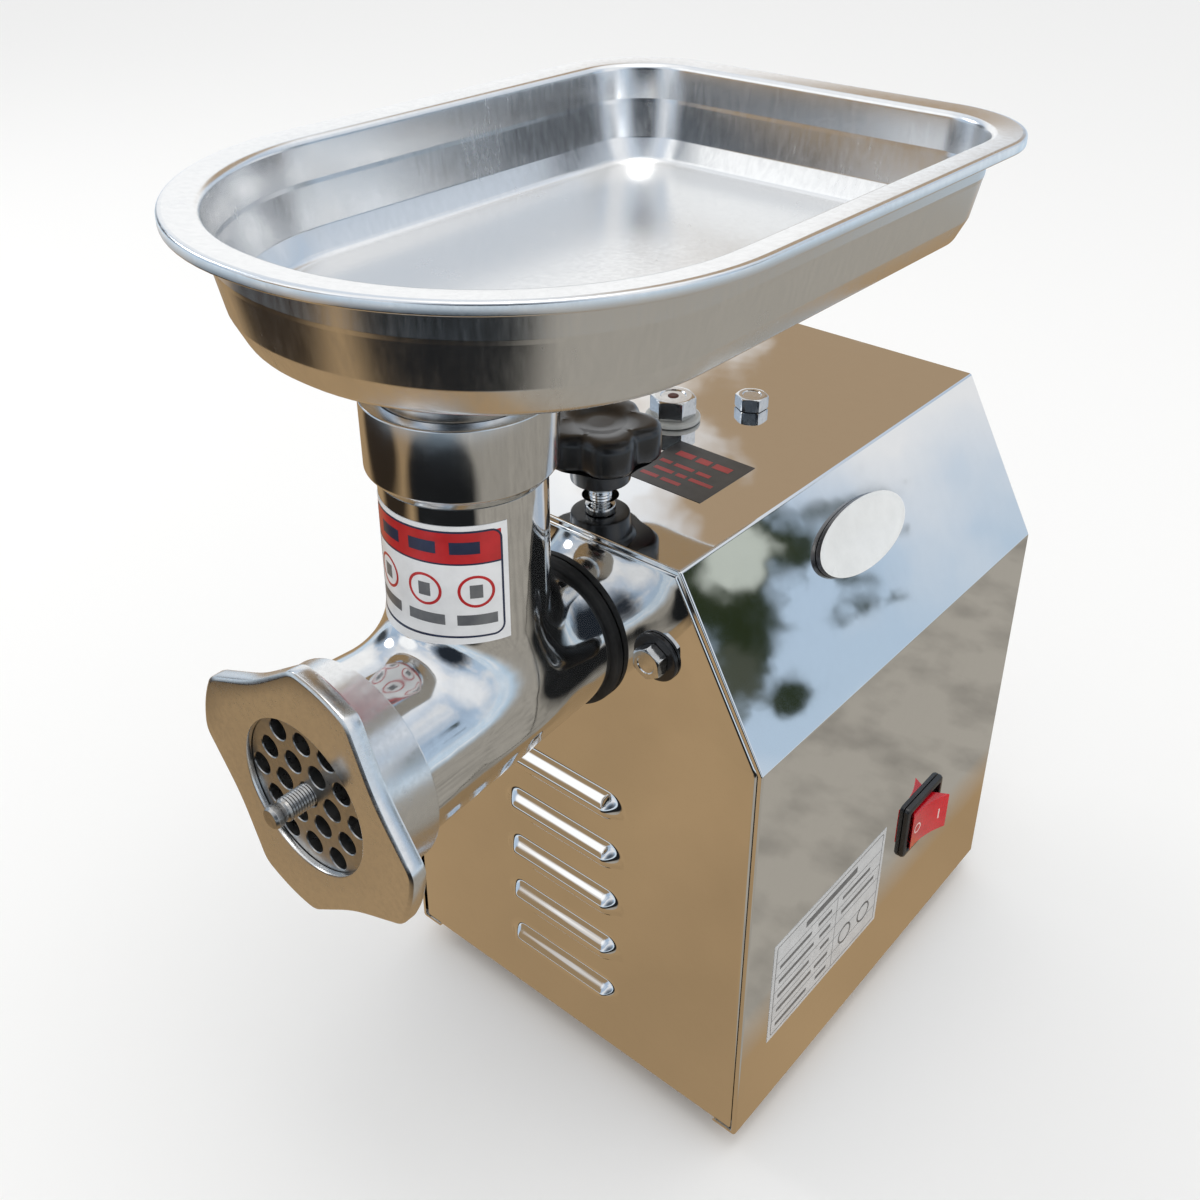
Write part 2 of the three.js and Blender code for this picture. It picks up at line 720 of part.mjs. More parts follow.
function ringNut() {
  const flange = plateY(ringOutline(), ringFrontY, ringFrontY + 7);
  const collar = rodY(42.5, ringFrontY + 6, -235, 0, axisZ, 32);
  return cut(flange.add(collar), [
    rodY(32.2, ringFrontY - 5, -230, 0, axisZ, 28),
    rodY(40.2, ringFrontY + 2.4, -230, 0, axisZ, 32),
  ]);
}

// Tray: a rounded pan, broad at the front, with a spigot that drops in the neck.
function trayOutline(inset, steps = 5) {
  const corners = [
    [1, trayRearY, trayRearCorner, 0], [-1, trayRearY, trayRearCorner, 90],
    [-1, trayFrontY, trayFrontCorner, 180], [1, trayFrontY, trayFrontCorner, 270],
  ];
  const points = [];
  for (const [side, endY, corner, start] of corners) {
    const r = corner - inset;
    const towardsMiddle = endY === trayRearY ? -1 : 1;
    for (let k = 0; k <= steps; k += 1) {
      const angle = (start + 90 * k / steps) * Math.PI / 180;
      const x = side * (trayHalfWidth - corner) + r * Math.cos(angle);
      points.push([x, endY + towardsMiddle * corner + r * Math.sin(angle)]);
    }
  }
  return points;
}

// The pan's section as [inset, z] points: rim, sloping wall, rounded floor, and back underneath.
function traySection() {
  const rim = trayRimZ;
  const floor = trayFloorZ;
  const under = floor - trayWall;
  return [
    [0, rim - 4.5], [0, rim - 1.2], [1.2, rim], [11.5, rim - 0.6], [14, rim - 3], [19, floor + 10],
    [21.5, floor + 3.5], [27, floor], [27, under], [20.8, under + 3.2], [17.8, floor + 9.6],
    [12.8, rim - 4], [11.2, rim - 1.9], [1.6, rim - 1.9], [1.6, rim - 4.5],
  ];
}

function tray() {
  const section = traySection();
  const loops = section.map(([inset, z]) => trayOutline(inset).map(([x, y]) => [x, y, z]));
  const around = loops[0].length;
  const positions = loops.flat(2);
  const index = [];
  for (let i = 0; i < loops.length; i += 1) {
    const next = (i + 1) % loops.length;
    for (let k = 0; k < around; k += 1) {
      const a = i * around + k;
      const b = i * around + (k + 1) % around;
      const c = next * around + (k + 1) % around;
      const d = next * around + k;
      index.push(a, b, c, a, c, d);
    }
  }
  const wall = new THREE.BufferGeometry();
  wall.setAttribute('position', new THREE.Float32BufferAttribute(positions, 3));
  wall.setIndex(index);
  const floor = plateZ(trayOutline(26.5), trayFloorZ - trayWall, trayFloorZ);
  const throat = socketRadius - gap - 1.6;
  const spigot = ringZ(throat, socketRadius - gap, socketFloorZ + 4, trayFloorZ - 0.4, 0, neckY, 28);
  const hole = rodZ(throat, trayFloorZ - 10, trayFloorZ + 5, 0, neckY, 28);
  return joined([solid(wall), floor, spigot]).subtract(hole);
}

// Knob: a lobed grip over a round skirt, on a threaded stud.
function knobOutline() {
  const gripRadius = 23.4;
  const steps = 60;
  const points = [];
  for (let k = 0; k < steps; k += 1) {
    const angle = 2 * Math.PI * k / steps;
    const phase = knobLobes * (angle - 35 * Math.PI / 180);
    const r = gripRadius + 2.6 * Math.cos(phase) - 0.5 * Math.cos(2 * phase);
    points.push([r * Math.cos(angle), knobY + r * Math.sin(angle)]);
  }
  return points;
}

function knob() {
  const skirt = rodZ(knobSkirtRadius, knobBottomZ, knobBottomZ + 13, 0, knobY, 28);
  const grip = plateZ(knobOutline(), knobBottomZ + 11.3, knobBottomZ + 27.5);
  return skirt.add(grip).subtract(rodZ(5.3, knobBottomZ - 5, knobBottomZ + 18, 0, knobY, 24));
}

function knobStud() {
  return rodZ(5, axisZ + 31, knobBottomZ + 17, 0, knobY, 24);
}

// The badge lies on the right-hand slope of the cover.
function badge() {
  const up = Math.atan2(coverTop - chamferLowZ, coverTopHalf - coverHalf);
  const along = 57.5;
  const geometry = new THREE.CylinderGeometry(1, 1, 2.7, 28);
  geometry.scale(15, 1, 35.5);
  geometry.translate(0, 1.35 + gap, 0);
  geometry.applyMatrix4(new THREE.Matrix4().makeBasis(
    new THREE.Vector3(Math.cos(up), 0, Math.sin(up)),
    new THREE.Vector3(Math.sin(up), 0, -Math.cos(up)),
    new THREE.Vector3(0, 1, 0),
  ));
  geometry.translate(coverHalf + along * Math.cos(up), -10, chamferLowZ + along * Math.sin(up));
  return geometry;
}

// Casing.
add('housing_cover', geometryOf(housingCover()), mirrorSteel);
add('front_panel', geometryOf(frontPanel()), mirrorSteel);
add('rear_panel', geometryOf(rearPanel()), mirrorSteel);
add('base_plate', geometryOf(basePlate()), satinSteel);
const footX = 75;
const footY = 86;
const footSpots = {
  front_left: [-footX, -footY], front_right: [footX, -footY], rear_left: [-footX, footY], rear_right: [footX, footY],
};
for (const [corner, [x, y]] of Object.entries(footSpots)) {
  add(`foot_${corner}`, geometryOf(foot(x, y)), blackRubber);
}
rearScrewSpots.forEach(([x, z], k) => {
  add(`rear_screw_${k + 1}`, geometryOf(rearScrew(x, z)), satinSteel);
});
add('hub_gasket', geometryOf(ringY(30.4, 35.5, shoulderY + gap, frontY - 0.1, 0, axisZ, 28)), blackRubber);
for (const [side, x] of [['left', -boltX], ['right', boltX]]) {
  const washerY = frontY + 0.2 - gap;
  add(`front_washer_${side}`, geometryOf(ringY(4.3, 11, washerY - 1.8, washerY, x, boltZ, 14)), blackRubber);
  add(`front_bolt_${side}`, geometryOf(hexBoltY(13, washerY - 2.1, 5.6, 4, 20, x, boltZ)), castSteel);
}
const breatherSeal = ringZ(6.3, 13.2, coverTop + gap, coverTop + 2.8, breatherX, breatherY, 32);
const breatherPlug = hexBoltZ(19, coverTop + 3.1, 9.5, 5.9, 18, breatherX, breatherY);
add('breather_washer', geometryOf(breatherSeal), whitePlastic);
add('breather_plug', geometryOf(breatherPlug), castSteel);
add('top_bolt', geometryOf(hexBoltZ(14, coverTop + gap, 6.5, 4.1, 22, 0, topBoltY)), castSteel);
add('cover_post', geometryOf(coverPost()), satinSteel);
add('badge', badge(), whitePlastic);

// Gearbox and its train.
add('gearbox_front', geometryOf(gearboxFront()), castAlloy);
add('gearbox_rear', geometryOf(gearboxRear()), castAlloy);
add('oil_seal', geometryOf(ringY(12.2, sealOuter, caseFrontY + gap, -86.3, 0, axisZ)), blackRubber);
const bearingWidth = 9.4;
const rearBearingEndY = rearBearingY + bearingWidth;
add('output_front_bearing', geometryOf(bearing(10, 21, frontBearingY, -72.3, axisZ)), satinSteel);
add('output_rear_bearing', geometryOf(bearing(8.5, 17.5, rearBearingY, rearBearingEndY, axisZ)), satinSteel);
add('counter_front_bearing', geometryOf(bearing(6, 16, frontBearingY + 2, -72.3, counterZ)), satinSteel);
add('counter_rear_bearing', geometryOf(bearing(6, 16, rearBearingY, rearBearingEndY, counterZ)), satinSteel);
add('output_shaft', geometryOf(outputShaft()), gearSteel);
add('output_gear', geometryOf(gear(outputTeeth, -Math.PI / 2, -68.5, -54, axisZ, 11.2)), gearSteel);
add('counter_shaft', geometryOf(counterShaft()), gearSteel);
add('counter_gear', geometryOf(gear(counterTeeth, -Math.PI / 2, -49, -39, counterZ, 8.2)), gearSteel);

// Motor.
const motorPhase = Math.PI / 2 + Math.PI / motorPinionTeeth;
add('motor_pinion', geometryOf(gear(motorPinionTeeth, motorPhase, -50, -38.3, motorZ)), gearSteel);
add('motor_shaft', geometryOf(motorShaft()), gearSteel);
add('motor_front_bearing', geometryOf(bearing(7.5, 17.5, -19.7, -10.3, motorZ)), satinSteel);
add('motor_rear_bearing', geometryOf(bearing(7.5, 17.5, 61.6, 69.7, motorZ)), satinSteel);
add('rotor_core', geometryOf(rotorCore()), lamination);
add('stator_core', geometryOf(statorCore()), lamination);
add('winding_front', geometryOf(winding(-9.5, -1.3)), copper);
add('winding_rear', geometryOf(winding(51.3, 61)), copper);
add('motor_can', geometryOf(motorCan()), castAlloy);
add('motor_rear_bell', geometryOf(motorRearBell()), castAlloy);
add('fan', geometryOf(fan()), blackPlastic);
add('motor_bracket', geometryOf(motorBracket()), satinSteel);

// Electrical pieces.
add('switch_body', geometryOf(switchBody()), blackPlastic);
add('rocker', geometryOf(rocker()), redPlastic);
const restZ = baseTopZ + gap;
const capacitor = rodY(capacitorRadius, -60, 0, capacitorX, restZ + capacitorRadius, 28);
add('capacitor', geometryOf(capacitor), greyPlastic);
add('terminal_block', geometryOf(box(40, 58, 70, 100, restZ, restZ + 17)), greyPlastic);
add('cord_gland', geometryOf(cordGland()), blackPlastic);

// Grinding head and what it holds.
add('head', geometryOf(head()), castSteel);
add('auger', geometryOf(auger()), castSteel);
add('auger_stud', geometryOf(augerStud()), gearSteel);
add('knife', geometryOf(knife()), gearSteel);
add('cutting_plate', geometryOf(cuttingPlate()), satinSteel);
add('ring_nut', geometryOf(ringNut()), satinSteel);
add('tray', geometryOf(tray()), satinSteel);
add('knob', geometryOf(knob()), blackPlastic);
add('knob_stud', geometryOf(knobStud()), gearSteel);

export default machine;
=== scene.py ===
# Countertop meat grinder: mirror-steel casing, side grinding head and a large tray.
import json
from math import atan2, cos, hypot, pi, radians, sin, sqrt, tan
import bmesh
import bpy
import numpy as np
from mathutils import Matrix, Vector


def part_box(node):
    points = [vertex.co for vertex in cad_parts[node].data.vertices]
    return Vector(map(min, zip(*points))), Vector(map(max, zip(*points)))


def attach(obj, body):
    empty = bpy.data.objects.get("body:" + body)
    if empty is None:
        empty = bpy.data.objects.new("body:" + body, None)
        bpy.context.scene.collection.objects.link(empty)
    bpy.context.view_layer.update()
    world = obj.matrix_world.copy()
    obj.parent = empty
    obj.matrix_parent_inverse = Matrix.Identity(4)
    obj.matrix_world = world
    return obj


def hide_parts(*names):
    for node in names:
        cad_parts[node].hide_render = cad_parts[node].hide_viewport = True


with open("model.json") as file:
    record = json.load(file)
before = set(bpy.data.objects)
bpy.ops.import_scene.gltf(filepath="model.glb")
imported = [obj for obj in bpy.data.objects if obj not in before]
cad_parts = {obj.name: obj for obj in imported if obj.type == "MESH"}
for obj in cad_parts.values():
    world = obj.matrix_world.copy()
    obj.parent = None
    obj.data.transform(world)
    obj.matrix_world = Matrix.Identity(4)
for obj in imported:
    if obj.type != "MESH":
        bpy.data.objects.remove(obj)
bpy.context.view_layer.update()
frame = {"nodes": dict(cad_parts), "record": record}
mm = 0.001
print("frame loaded:", len(frame["nodes"]), "nodes")

# Lengths are millimetres from the middle of the casing, with z = 0 on the table.
casingLow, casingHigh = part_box("housing_cover")
casingX = (casingLow.x + casingHigh.x) / 2
casingY = (casingLow.y + casingHigh.y) / 2


def span(node):
    low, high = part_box(node)
    shift = Vector((casingX, casingY, 0))
    return (low - shift) / mm, (high - shift) / mm


def middle(node):
    low, high = span(node)
    return (low + high) / 2


def toFrame(point):
    return (casingX + point[0] * mm, casingY + point[1] * mm, point[2] * mm)


def mountSpot(name):
    mount = next(m for m in frame["record"]["mounts"] if m["name"] == name)
    place = Vector(mount["pos_m"])
    return Vector(((place.x - casingX) / mm, (place.y - casingY) / mm, place.z / mm))


headAxis = middle("cutting_plate")
axisZ = headAxis.z
neckY = mountSpot("tray_seat").y
coverLow, coverHigh = span("housing_cover")
frontY = coverLow.y
coverTop = coverHigh.z

camera = {
    "back": (39.77, 28.8, -0.28),        # azimuth, elevation and roll in degrees
    "place": (0.31716, -0.40514, 0.59002),
    "lens": 40.007,
    "shift": (-0.0051, -0.098),
}


def addCamera():
    azimuth, elevation, roll = (radians(a) for a in camera["back"])
    back = Vector((sin(azimuth) * cos(elevation), -cos(azimuth) * cos(elevation), sin(elevation)))
    level = (-back).cross(Vector((0, 0, 1))).normalized()
    low = (-back).cross(level)
    right = cos(roll) * level + sin(roll) * low
    down = -sin(roll) * level + cos(roll) * low
    data = bpy.data.cameras.new("camera")
    data.lens = camera["lens"]
    data.sensor_width = 36
    data.shift_x, data.shift_y = camera["shift"]
    data.clip_start = 0.01
    eye = bpy.data.objects.new("camera", data)
    turn = Matrix((right, -down, back)).transposed().to_4x4()
    eye.matrix_world = Matrix.Translation(camera["place"]) @ turn
    bpy.context.scene.collection.objects.link(eye)
    bpy.context.scene.camera = eye


addCamera()
print("camera placed")


# Mesh tools.
def meshPiece(name, points, faces, crisp=32):
    mesh = bpy.data.meshes.new(name)
    mesh.from_pydata([toFrame(p) for p in points], [], faces)
    bm = bmesh.new()
    bm.from_mesh(mesh)
    bmesh.ops.remove_doubles(bm, verts=bm.verts, dist=0.003 * mm)
    bmesh.ops.dissolve_degenerate(bm, edges=bm.edges, dist=0.002 * mm)
    bmesh.ops.recalc_face_normals(bm, faces=bm.faces)
    bm.to_mesh(mesh)
    bm.free()
    piece = bpy.data.objects.new(name, mesh)
    bpy.context.scene.collection.objects.link(piece)
    smoothShade(piece, crisp)
    return piece


def smoothShade(piece, crisp=32):
    mesh = piece.data
    mesh.polygons.foreach_set("use_smooth", [True] * len(mesh.polygons))
    mesh.set_sharp_from_angle(angle=radians(crisp))


def applySteps(piece):
    graph = bpy.context.evaluated_depsgraph_get()
    piece.data = bpy.data.meshes.new_from_object(piece.evaluated_get(graph))
    piece.modifiers.clear()


def settle(piece, crisp=32):
    applySteps(piece)
    smoothShade(piece, crisp)


def evenShade(piece):
    # Broad flat faces keep their own normals, and only the narrow folds between them are shaded round.
    step = piece.modifiers.new("even", "WEIGHTED_NORMAL")
    step.weight = 100
    step.keep_sharp = True
    applySteps(piece)


def cutWith(piece, tools, crisp=32, operation="DIFFERENCE"):
    for tool in tools:
        step = piece.modifiers.new("cut", "BOOLEAN")
        step.operation = operation
        step.solver = "EXACT"
        step.object = tool
    settle(piece, crisp)
    for tool in tools:
        bpy.data.objects.remove(tool)


def finishPiece(piece, body, slot, finish, *nodes):
    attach(piece, body)
    if nodes:
        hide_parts(*nodes)
    if finish:
        piece.data.materials.clear()
        piece.data.materials.append(finishes[finish])


def loftFaces(around, rings, wrapRings=False, start=0):
    faces = []
    for i in range(rings if wrapRings else rings - 1):
        low, high = start + i * around, start + (i + 1) % rings * around
        for k in range(around):
            n = (k + 1) % around
            faces.append((low + k, low + n, high + n, high + k))
    return faces


def loft(name, rings, wrapRings=False, caps=True, crisp=32):
    around = len(rings[0])
    faces = loftFaces(around, len(rings), wrapRings)
    if caps and not wrapRings:
        faces.append(tuple(range(around)))
        faces.append(tuple(range((len(rings) - 1) * around, len(rings) * around)))
    return meshPiece(name, [p for ring in rings for p in ring], faces, crisp)


def rounded(corners, closed=False, steps=5):
    # Each corner is (a, b) or (a, b, radius), and a corner with a radius becomes an arc.
    line = []
    for i, corner in enumerate(corners):
        here = Vector(corner[:2])
        atEnd = not closed and i in (0, len(corners) - 1)
        if len(corner) < 3 or atEnd:
            line.append(tuple(here))
            continue
        back = Vector(corners[i - 1][:2]) - here
        on = Vector(corners[(i + 1) % len(corners)][:2]) - here
        half = back.angle(on) / 2
        reach = min(corner[2] / tan(half), 0.49 * back.length, 0.49 * on.length)
        radius = reach * tan(half)
        centre = here + (back.normalized() + on.normalized()).normalized() * radius / sin(half)
        first = here + back.normalized() * reach - centre
        last = here + on.normalized() * reach - centre
        begin = atan2(first.y, first.x)
        sweep = (atan2(last.y, last.x) - begin + pi) % (2 * pi) - pi
        for k in range(steps + 1):
            angle = begin + sweep * k / steps
            line.append((centre.x + radius * cos(angle), centre.y + radius * sin(angle)))
    return line


def circle(axis, through, radius, along, steps=96):
    ring = []
    for k in range(steps):
        angle = 2 * pi * k / steps
        a, b = radius * cos(angle), radius * sin(angle)
        if axis == "y":
            ring.append((through[0] + a, along, through[1] + b))
        else:
            ring.append((through[0] + a, through[1] + b, along))
    return ring


def turned(name, profile, axis, through, closed=False, steps=96, crisp=32):
    # The profile holds (radius, along) points, and a radius of 0 closes an end.
    rings = [circle(axis, through, r, along, steps) for r, along in profile]
    return loft(name, rings, wrapRings=closed, caps=False, crisp=crisp)


def prism(name, outline, axis, low, high):
    place = {"y": lambda p, h: (p[0], h, p[1]), "z": lambda p, h: (p[0], p[1], h)}[axis]
    return loft(name, [[place(p, h) for p in outline] for h in (low, high)])


def drill(axis, through, radius, low, high, steps=32):
    # A round cutter, to be taken away from a sheet.
    return loft("drill", [circle(axis, through, radius, along, steps) for along in (low, high)])


def block(name, low, high):
    outline = [(low[0], low[1]), (high[0], low[1]), (high[0], high[1]), (low[0], high[1])]
    return prism(name, outline, "z", low[2], high[2])


def bevelEdges(piece, width, segments=3, angle=40, crisp=40):
    step = piece.modifiers.new("soften", "BEVEL")
    step.width = width * mm
    step.segments = segments
    step.limit_method = "ANGLE"
    step.angle_limit = radians(angle)
    settle(piece, crisp)


def joinPieces(name, pieces, crisp=32):
    bm = bmesh.new()
    for piece in pieces:
        bm.from_mesh(piece.data)
        bpy.data.objects.remove(piece)
    mesh = bpy.data.meshes.new(name)
    bm.to_mesh(mesh)
    bm.free()
    whole = bpy.data.objects.new(name, mesh)
    bpy.context.scene.collection.objects.link(whole)
    smoothShade(whole, crisp)
    return whole


# Shader groups shared by several finishes.
def newGroup(name, inputs, outputs):
    group = bpy.data.node_groups.new(name, "ShaderNodeTree")
    for socketName, kind, value in inputs:
        socket = group.interface.new_socket(name=socketName, in_out="INPUT", socket_type=kind)
        socket.default_value = value
    for socketName, kind in outputs:
        group.interface.new_socket(name=socketName, in_out="OUTPUT", socket_type=kind)
    return group, group.nodes.new("NodeGroupInput"), group.nodes.new("NodeGroupOutput")


def noiseNode(tree, vector, scale, detail=3, roughness=0.5):
    noise = tree.nodes.new("ShaderNodeTexNoise")
    noise.inputs["Detail"].default_value = detail
    noise.inputs["Roughness"].default_value = roughness
    tree.links.new(vector, noise.inputs["Vector"])
    if isinstance(scale, (int, float)):
        noise.inputs["Scale"].default_value = scale
    else:
        tree.links.new(scale, noise.inputs["Scale"])
    return noise.outputs["Fac"]


def mathNode(tree, operation, a, b=None, clamp=False):
    node = tree.nodes.new("ShaderNodeMath")
    node.operation = operation
    node.use_clamp = clamp
    for socket, value in zip(node.inputs, (a, b)):
        if value is None:
            continue
        if isinstance(value, (int, float)):
            socket.default_value = value
        else:
            tree.links.new(value, socket)
    return node.outputs[0]


def rangeNode(tree, value, fromLow, fromHigh, toLow=0.0, toHigh=1.0):
    node = tree.nodes.new("ShaderNodeMapRange")
    limits = {"From Min": fromLow, "From Max": fromHigh, "To Min": toLow, "To Max": toHigh}
    for name, amount in limits.items():
        if isinstance(amount, (int, float)):
            node.inputs[name].default_value = amount
        else:
            tree.links.new(amount, node.inputs[name])
    tree.links.new(value, node.inputs["Value"])
    return node.outputs["Result"]


def stretchedPlace(tree, stretch):
    place = tree.nodes.new("ShaderNodeTexCoord")
    scale = tree.nodes.new("ShaderNodeVectorMath")
    scale.operation = "MULTIPLY"
    tree.links.new(place.outputs["Object"], scale.inputs[0])
    tree.links.new(stretch, scale.inputs[1])
    return scale.outputs[0]


def buildGrainGroup():
    group, given, out = newGroup(
        "brushGrain",
        [("Stretch", "NodeSocketVector", (1, 1, 1)), ("Scale", "NodeSocketFloat", 900.0)],
        [("Grain", "NodeSocketFloat"), ("Streaks", "NodeSocketFloat")],
    )
    place = stretchedPlace(group, given.outputs["Stretch"])
    fine = noiseNode(group, place, given.outputs["Scale"], 4, 0.65)
    coarse = noiseNode(group, place, mathNode(group, "MULTIPLY", given.outputs["Scale"], 0.16), 3, 0.6)
    group.links.new(fine, out.inputs["Grain"])
    group.links.new(rangeNode(group, coarse, 0.35, 0.68), out.inputs["Streaks"])
    return group


def buildSmudgeGroup():
    group, given, out = newGroup(
        "handlingMarks",
        [("Scale", "NodeSocketFloat", 22.0), ("Amount", "NodeSocketFloat", 0.5)],
        [("Smudge", "NodeSocketFloat"), ("Specks", "NodeSocketFloat")],
    )
    place = group.nodes.new("ShaderNodeTexCoord").outputs["Object"]
    cloud = noiseNode(group, place, given.outputs["Scale"], 5, 0.62)
    wipe = rangeNode(group, cloud, 0.5, 0.78)
    dots = group.nodes.new("ShaderNodeTexVoronoi")
    dots.inputs["Scale"].default_value = 420
    group.links.new(place, dots.inputs["Vector"])
    near = rangeNode(group, dots.outputs["Distance"], 0.13, 0.03)
    rare = rangeNode(group, noiseNode(group, place, 130, 2), 0.62, 0.72)
    group.links.new(mathNode(group, "MULTIPLY", wipe, given.outputs["Amount"], True), out.inputs["Smudge"])
    group.links.new(mathNode(group, "MULTIPLY", near, rare, True), out.inputs["Specks"])
    return group


def buildWaveGroup():
    group, given, out = newGroup(
        "sheetWave",
        [("Scale", "NodeSocketFloat", 9.0), ("Ripple", "NodeSocketFloat", 0.2)],
        [("Height", "NodeSocketFloat")],
    )
    place = group.nodes.new("ShaderNodeTexCoord").outputs["Object"]
    slow = noiseNode(group, place, given.outputs["Scale"], 1, 0.3)
    quick = noiseNode(group, place, mathNode(group, "MULTIPLY", given.outputs["Scale"], 6.0), 1, 0.3)
    ripple = mathNode(group, "MULTIPLY", quick, given.outputs["Ripple"])
    group.links.new(mathNode(group, "ADD", slow, ripple), out.inputs["Height"])
    return group


grainGroup = buildGrainGroup()
smudgeGroup = buildSmudgeGroup()
waveGroup = buildWaveGroup()


def placeGroup(tree, group, **values):
    node = tree.nodes.new("ShaderNodeGroup")
    node.node_tree = group
    for name, value in values.items():
        node.inputs[name].default_value = value
    return node


def newMaterial(name, **fixed):
    material = bpy.data.materials.new(name)
    material.use_nodes = True
    shader = material.node_tree.nodes["Principled BSDF"]
    for socket, value in fixed.items():
        shader.inputs[socket.replace("_", " ")].default_value = value
    return material, material.node_tree, shader


def mixColours(tree, factor, first, second):
    node = tree.nodes.new("ShaderNodeMix")
    node.data_type = "RGBA"
    tree.links.new(factor, node.inputs["Factor"])
    for socket, colour in ((node.inputs["A"], first), (node.inputs["B"], second)):
        if isinstance(colour, tuple):
            socket.default_value = (*colour, 1)
        else:
            tree.links.new(colour, socket)
    return node.outputs["Result"]


def addBump(tree, shader, height, distance, strength=1.0, before=None):
    bump = tree.nodes.new("ShaderNodeBump")
    bump.inputs["Distance"].default_value = distance * mm
    bump.inputs["Strength"].default_value = strength
    tree.links.new(height, bump.inputs["Height"])
    if before:
        tree.links.new(before, bump.inputs["Normal"])
    tree.links.new(bump.outputs["Normal"], shader.inputs["Normal"])
    return bump.outputs["Normal"]


steelFinishes = {
    # colour, darker colour, roughness, grain stretch, grain scale, grain bump,
    # wave bump, wave scale, smudge, tint
    "polishedSheet": ((0.83, 0.825, 0.815), (0.76, 0.75, 0.74), 0.03, (1, 1, 1), 900, 0.0, 0.20, 9, 0.06, 0.12),
    "traySteel": ((0.84, 0.84, 0.835), (0.76, 0.76, 0.76), 0.19, (1, 1, 0.15), 2600, 0.0006, 0.12, 7, 0.10, 0.3),
    "ringSteel": ((0.78, 0.78, 0.775), (0.66, 0.66, 0.655), 0.20, (1, 1, 1), 2600, 0.0012, 0.05, 30, 0.14, 0.4),
    "collarSteel": ((0.72, 0.72, 0.715), (0.58, 0.58, 0.58), 0.10, (1, 1, 0.05), 1500, 0.0012, 0.08, 26, 0.12, 0.5),
    "castPolish": ((0.76, 0.76, 0.755), (0.62, 0.62, 0.62), 0.07, (1, 1, 1), 1300, 0.0005, 0.30, 24, 0.12, 0.3),
    "boltSteel": ((0.74, 0.74, 0.735), (0.5, 0.5, 0.5), 0.12, (1, 1, 1), 1500, 0.001, 0.05, 60, 0.2, 0.5),
    "plateSteel": ((0.46, 0.45, 0.43), (0.34, 0.33, 0.32), 0.26, (1, 1, 1), 2600, 0.0015, 0.03, 40, 0.16, 0.5),
    "studSteel": ((0.50, 0.49, 0.47), (0.30, 0.29, 0.28), 0.24, (1, 0.3, 1), 1600, 0.003, 0.05, 60, 0.22, 0.6),
    "castAlloy": ((0.50, 0.51, 0.52), (0.38, 0.39, 0.40), 0.48, (1, 1, 1), 700, 0.06, 0.1, 30, 0.2, 0.6),
    "gearSteel": ((0.42, 0.43, 0.44), (0.30, 0.31, 0.32), 0.33, (1, 1, 0.2), 1400, 0.01, 0.03, 40, 0.2, 0.6),
    "coreSteel": ((0.26, 0.26, 0.27), (0.16, 0.16, 0.17), 0.5, (0.1, 1, 0.1), 1700, 0.05, 0.03, 40, 0.2, 0.6),
}


def steelMaterial(name):
    bright, dark, rough, stretch, scale, grainBump, waveBump, waveScale, smudge, shift = steelFinishes[name]
    material, tree, shader = newMaterial(name, Metallic=1.0, Roughness=rough)
    grain = placeGroup(tree, grainGroup, Stretch=stretch, Scale=scale)
    marks = placeGroup(tree, smudgeGroup, Amount=smudge)
    wave = placeGroup(tree, waveGroup, Scale=waveScale)
    tint = mixColours(tree, mathNode(tree, "MULTIPLY", grain.outputs["Streaks"], shift), bright, dark)
    tree.links.new(mixColours(tree, marks.outputs["Specks"], tint, dark), shader.inputs["Base Color"])
    worn = mathNode(tree, "MULTIPLY", grain.outputs["Streaks"], 0.35 * rough)
    worn = mathNode(tree, "ADD", worn, mathNode(tree, "MULTIPLY", marks.outputs["Smudge"], 0.6))
    tree.links.new(mathNode(tree, "ADD", worn, rough), shader.inputs["Roughness"])
    first = addBump(tree, shader, wave.outputs["Height"], waveBump)
    if grainBump:
        addBump(tree, shader, grain.outputs["Grain"], grainBump, before=first)
    return material


plainFinishes = {
    # colour, second colour, roughness, coat, bump, specular level
    "blackGloss": ((0.006, 0.006, 0.007), (0.014, 0.014, 0.015), 0.30, 0.2, 0.003, 0.5),
    "blackRubber": ((0.010, 0.010, 0.010), (0.022, 0.021, 0.020), 0.55, 0.0, 0.02, 0.35),
    "badgeWhite": ((0.86, 0.87, 0.86), (0.80, 0.81, 0.80), 0.14, 0.5, 0.002, 0.5),
    "badgeEdge": ((0.03, 0.03, 0.035), (0.05, 0.05, 0.055), 0.25, 0.4, 0.002, 0.5),
    "labelWhite": ((0.78, 0.79, 0.80), (0.70, 0.71, 0.72), 0.30, 0.2, 0.002, 0.5),
    "labelSilver": ((0.62, 0.63, 0.64), (0.54, 0.55, 0.56), 0.27, 0.3, 0.002, 0.6),
    "labelBlack": ((0.012, 0.012, 0.013), (0.03, 0.03, 0.03), 0.30, 0.2, 0.002, 0.5),
    "inkRed": ((0.50, 0.012, 0.016), (0.40, 0.010, 0.012), 0.28, 0.2, 0.001, 0.5),
    "inkGrey": ((0.10, 0.105, 0.115), (0.15, 0.155, 0.16), 0.35, 0.1, 0.001, 0.5),
    "inkBlue": ((0.012, 0.018, 0.05), (0.02, 0.03, 0.07), 0.30, 0.2, 0.001, 0.5),
    "rustDot": ((0.16, 0.035, 0.02), (0.09, 0.03, 0.02), 0.5, 0.0, 0.02, 0.4),
    "paleSeal": ((0.62, 0.63, 0.61), (0.52, 0.53, 0.50), 0.28, 0.2, 0.01, 0.5),
    "greyPlastic": ((0.28, 0.29, 0.30), (0.22, 0.23, 0.24), 0.45, 0.0, 0.02, 0.5),
    "rockerMark": ((0.80, 0.55, 0.52), (0.70, 0.45, 0.42), 0.35, 0.0, 0.001, 0.5),
}


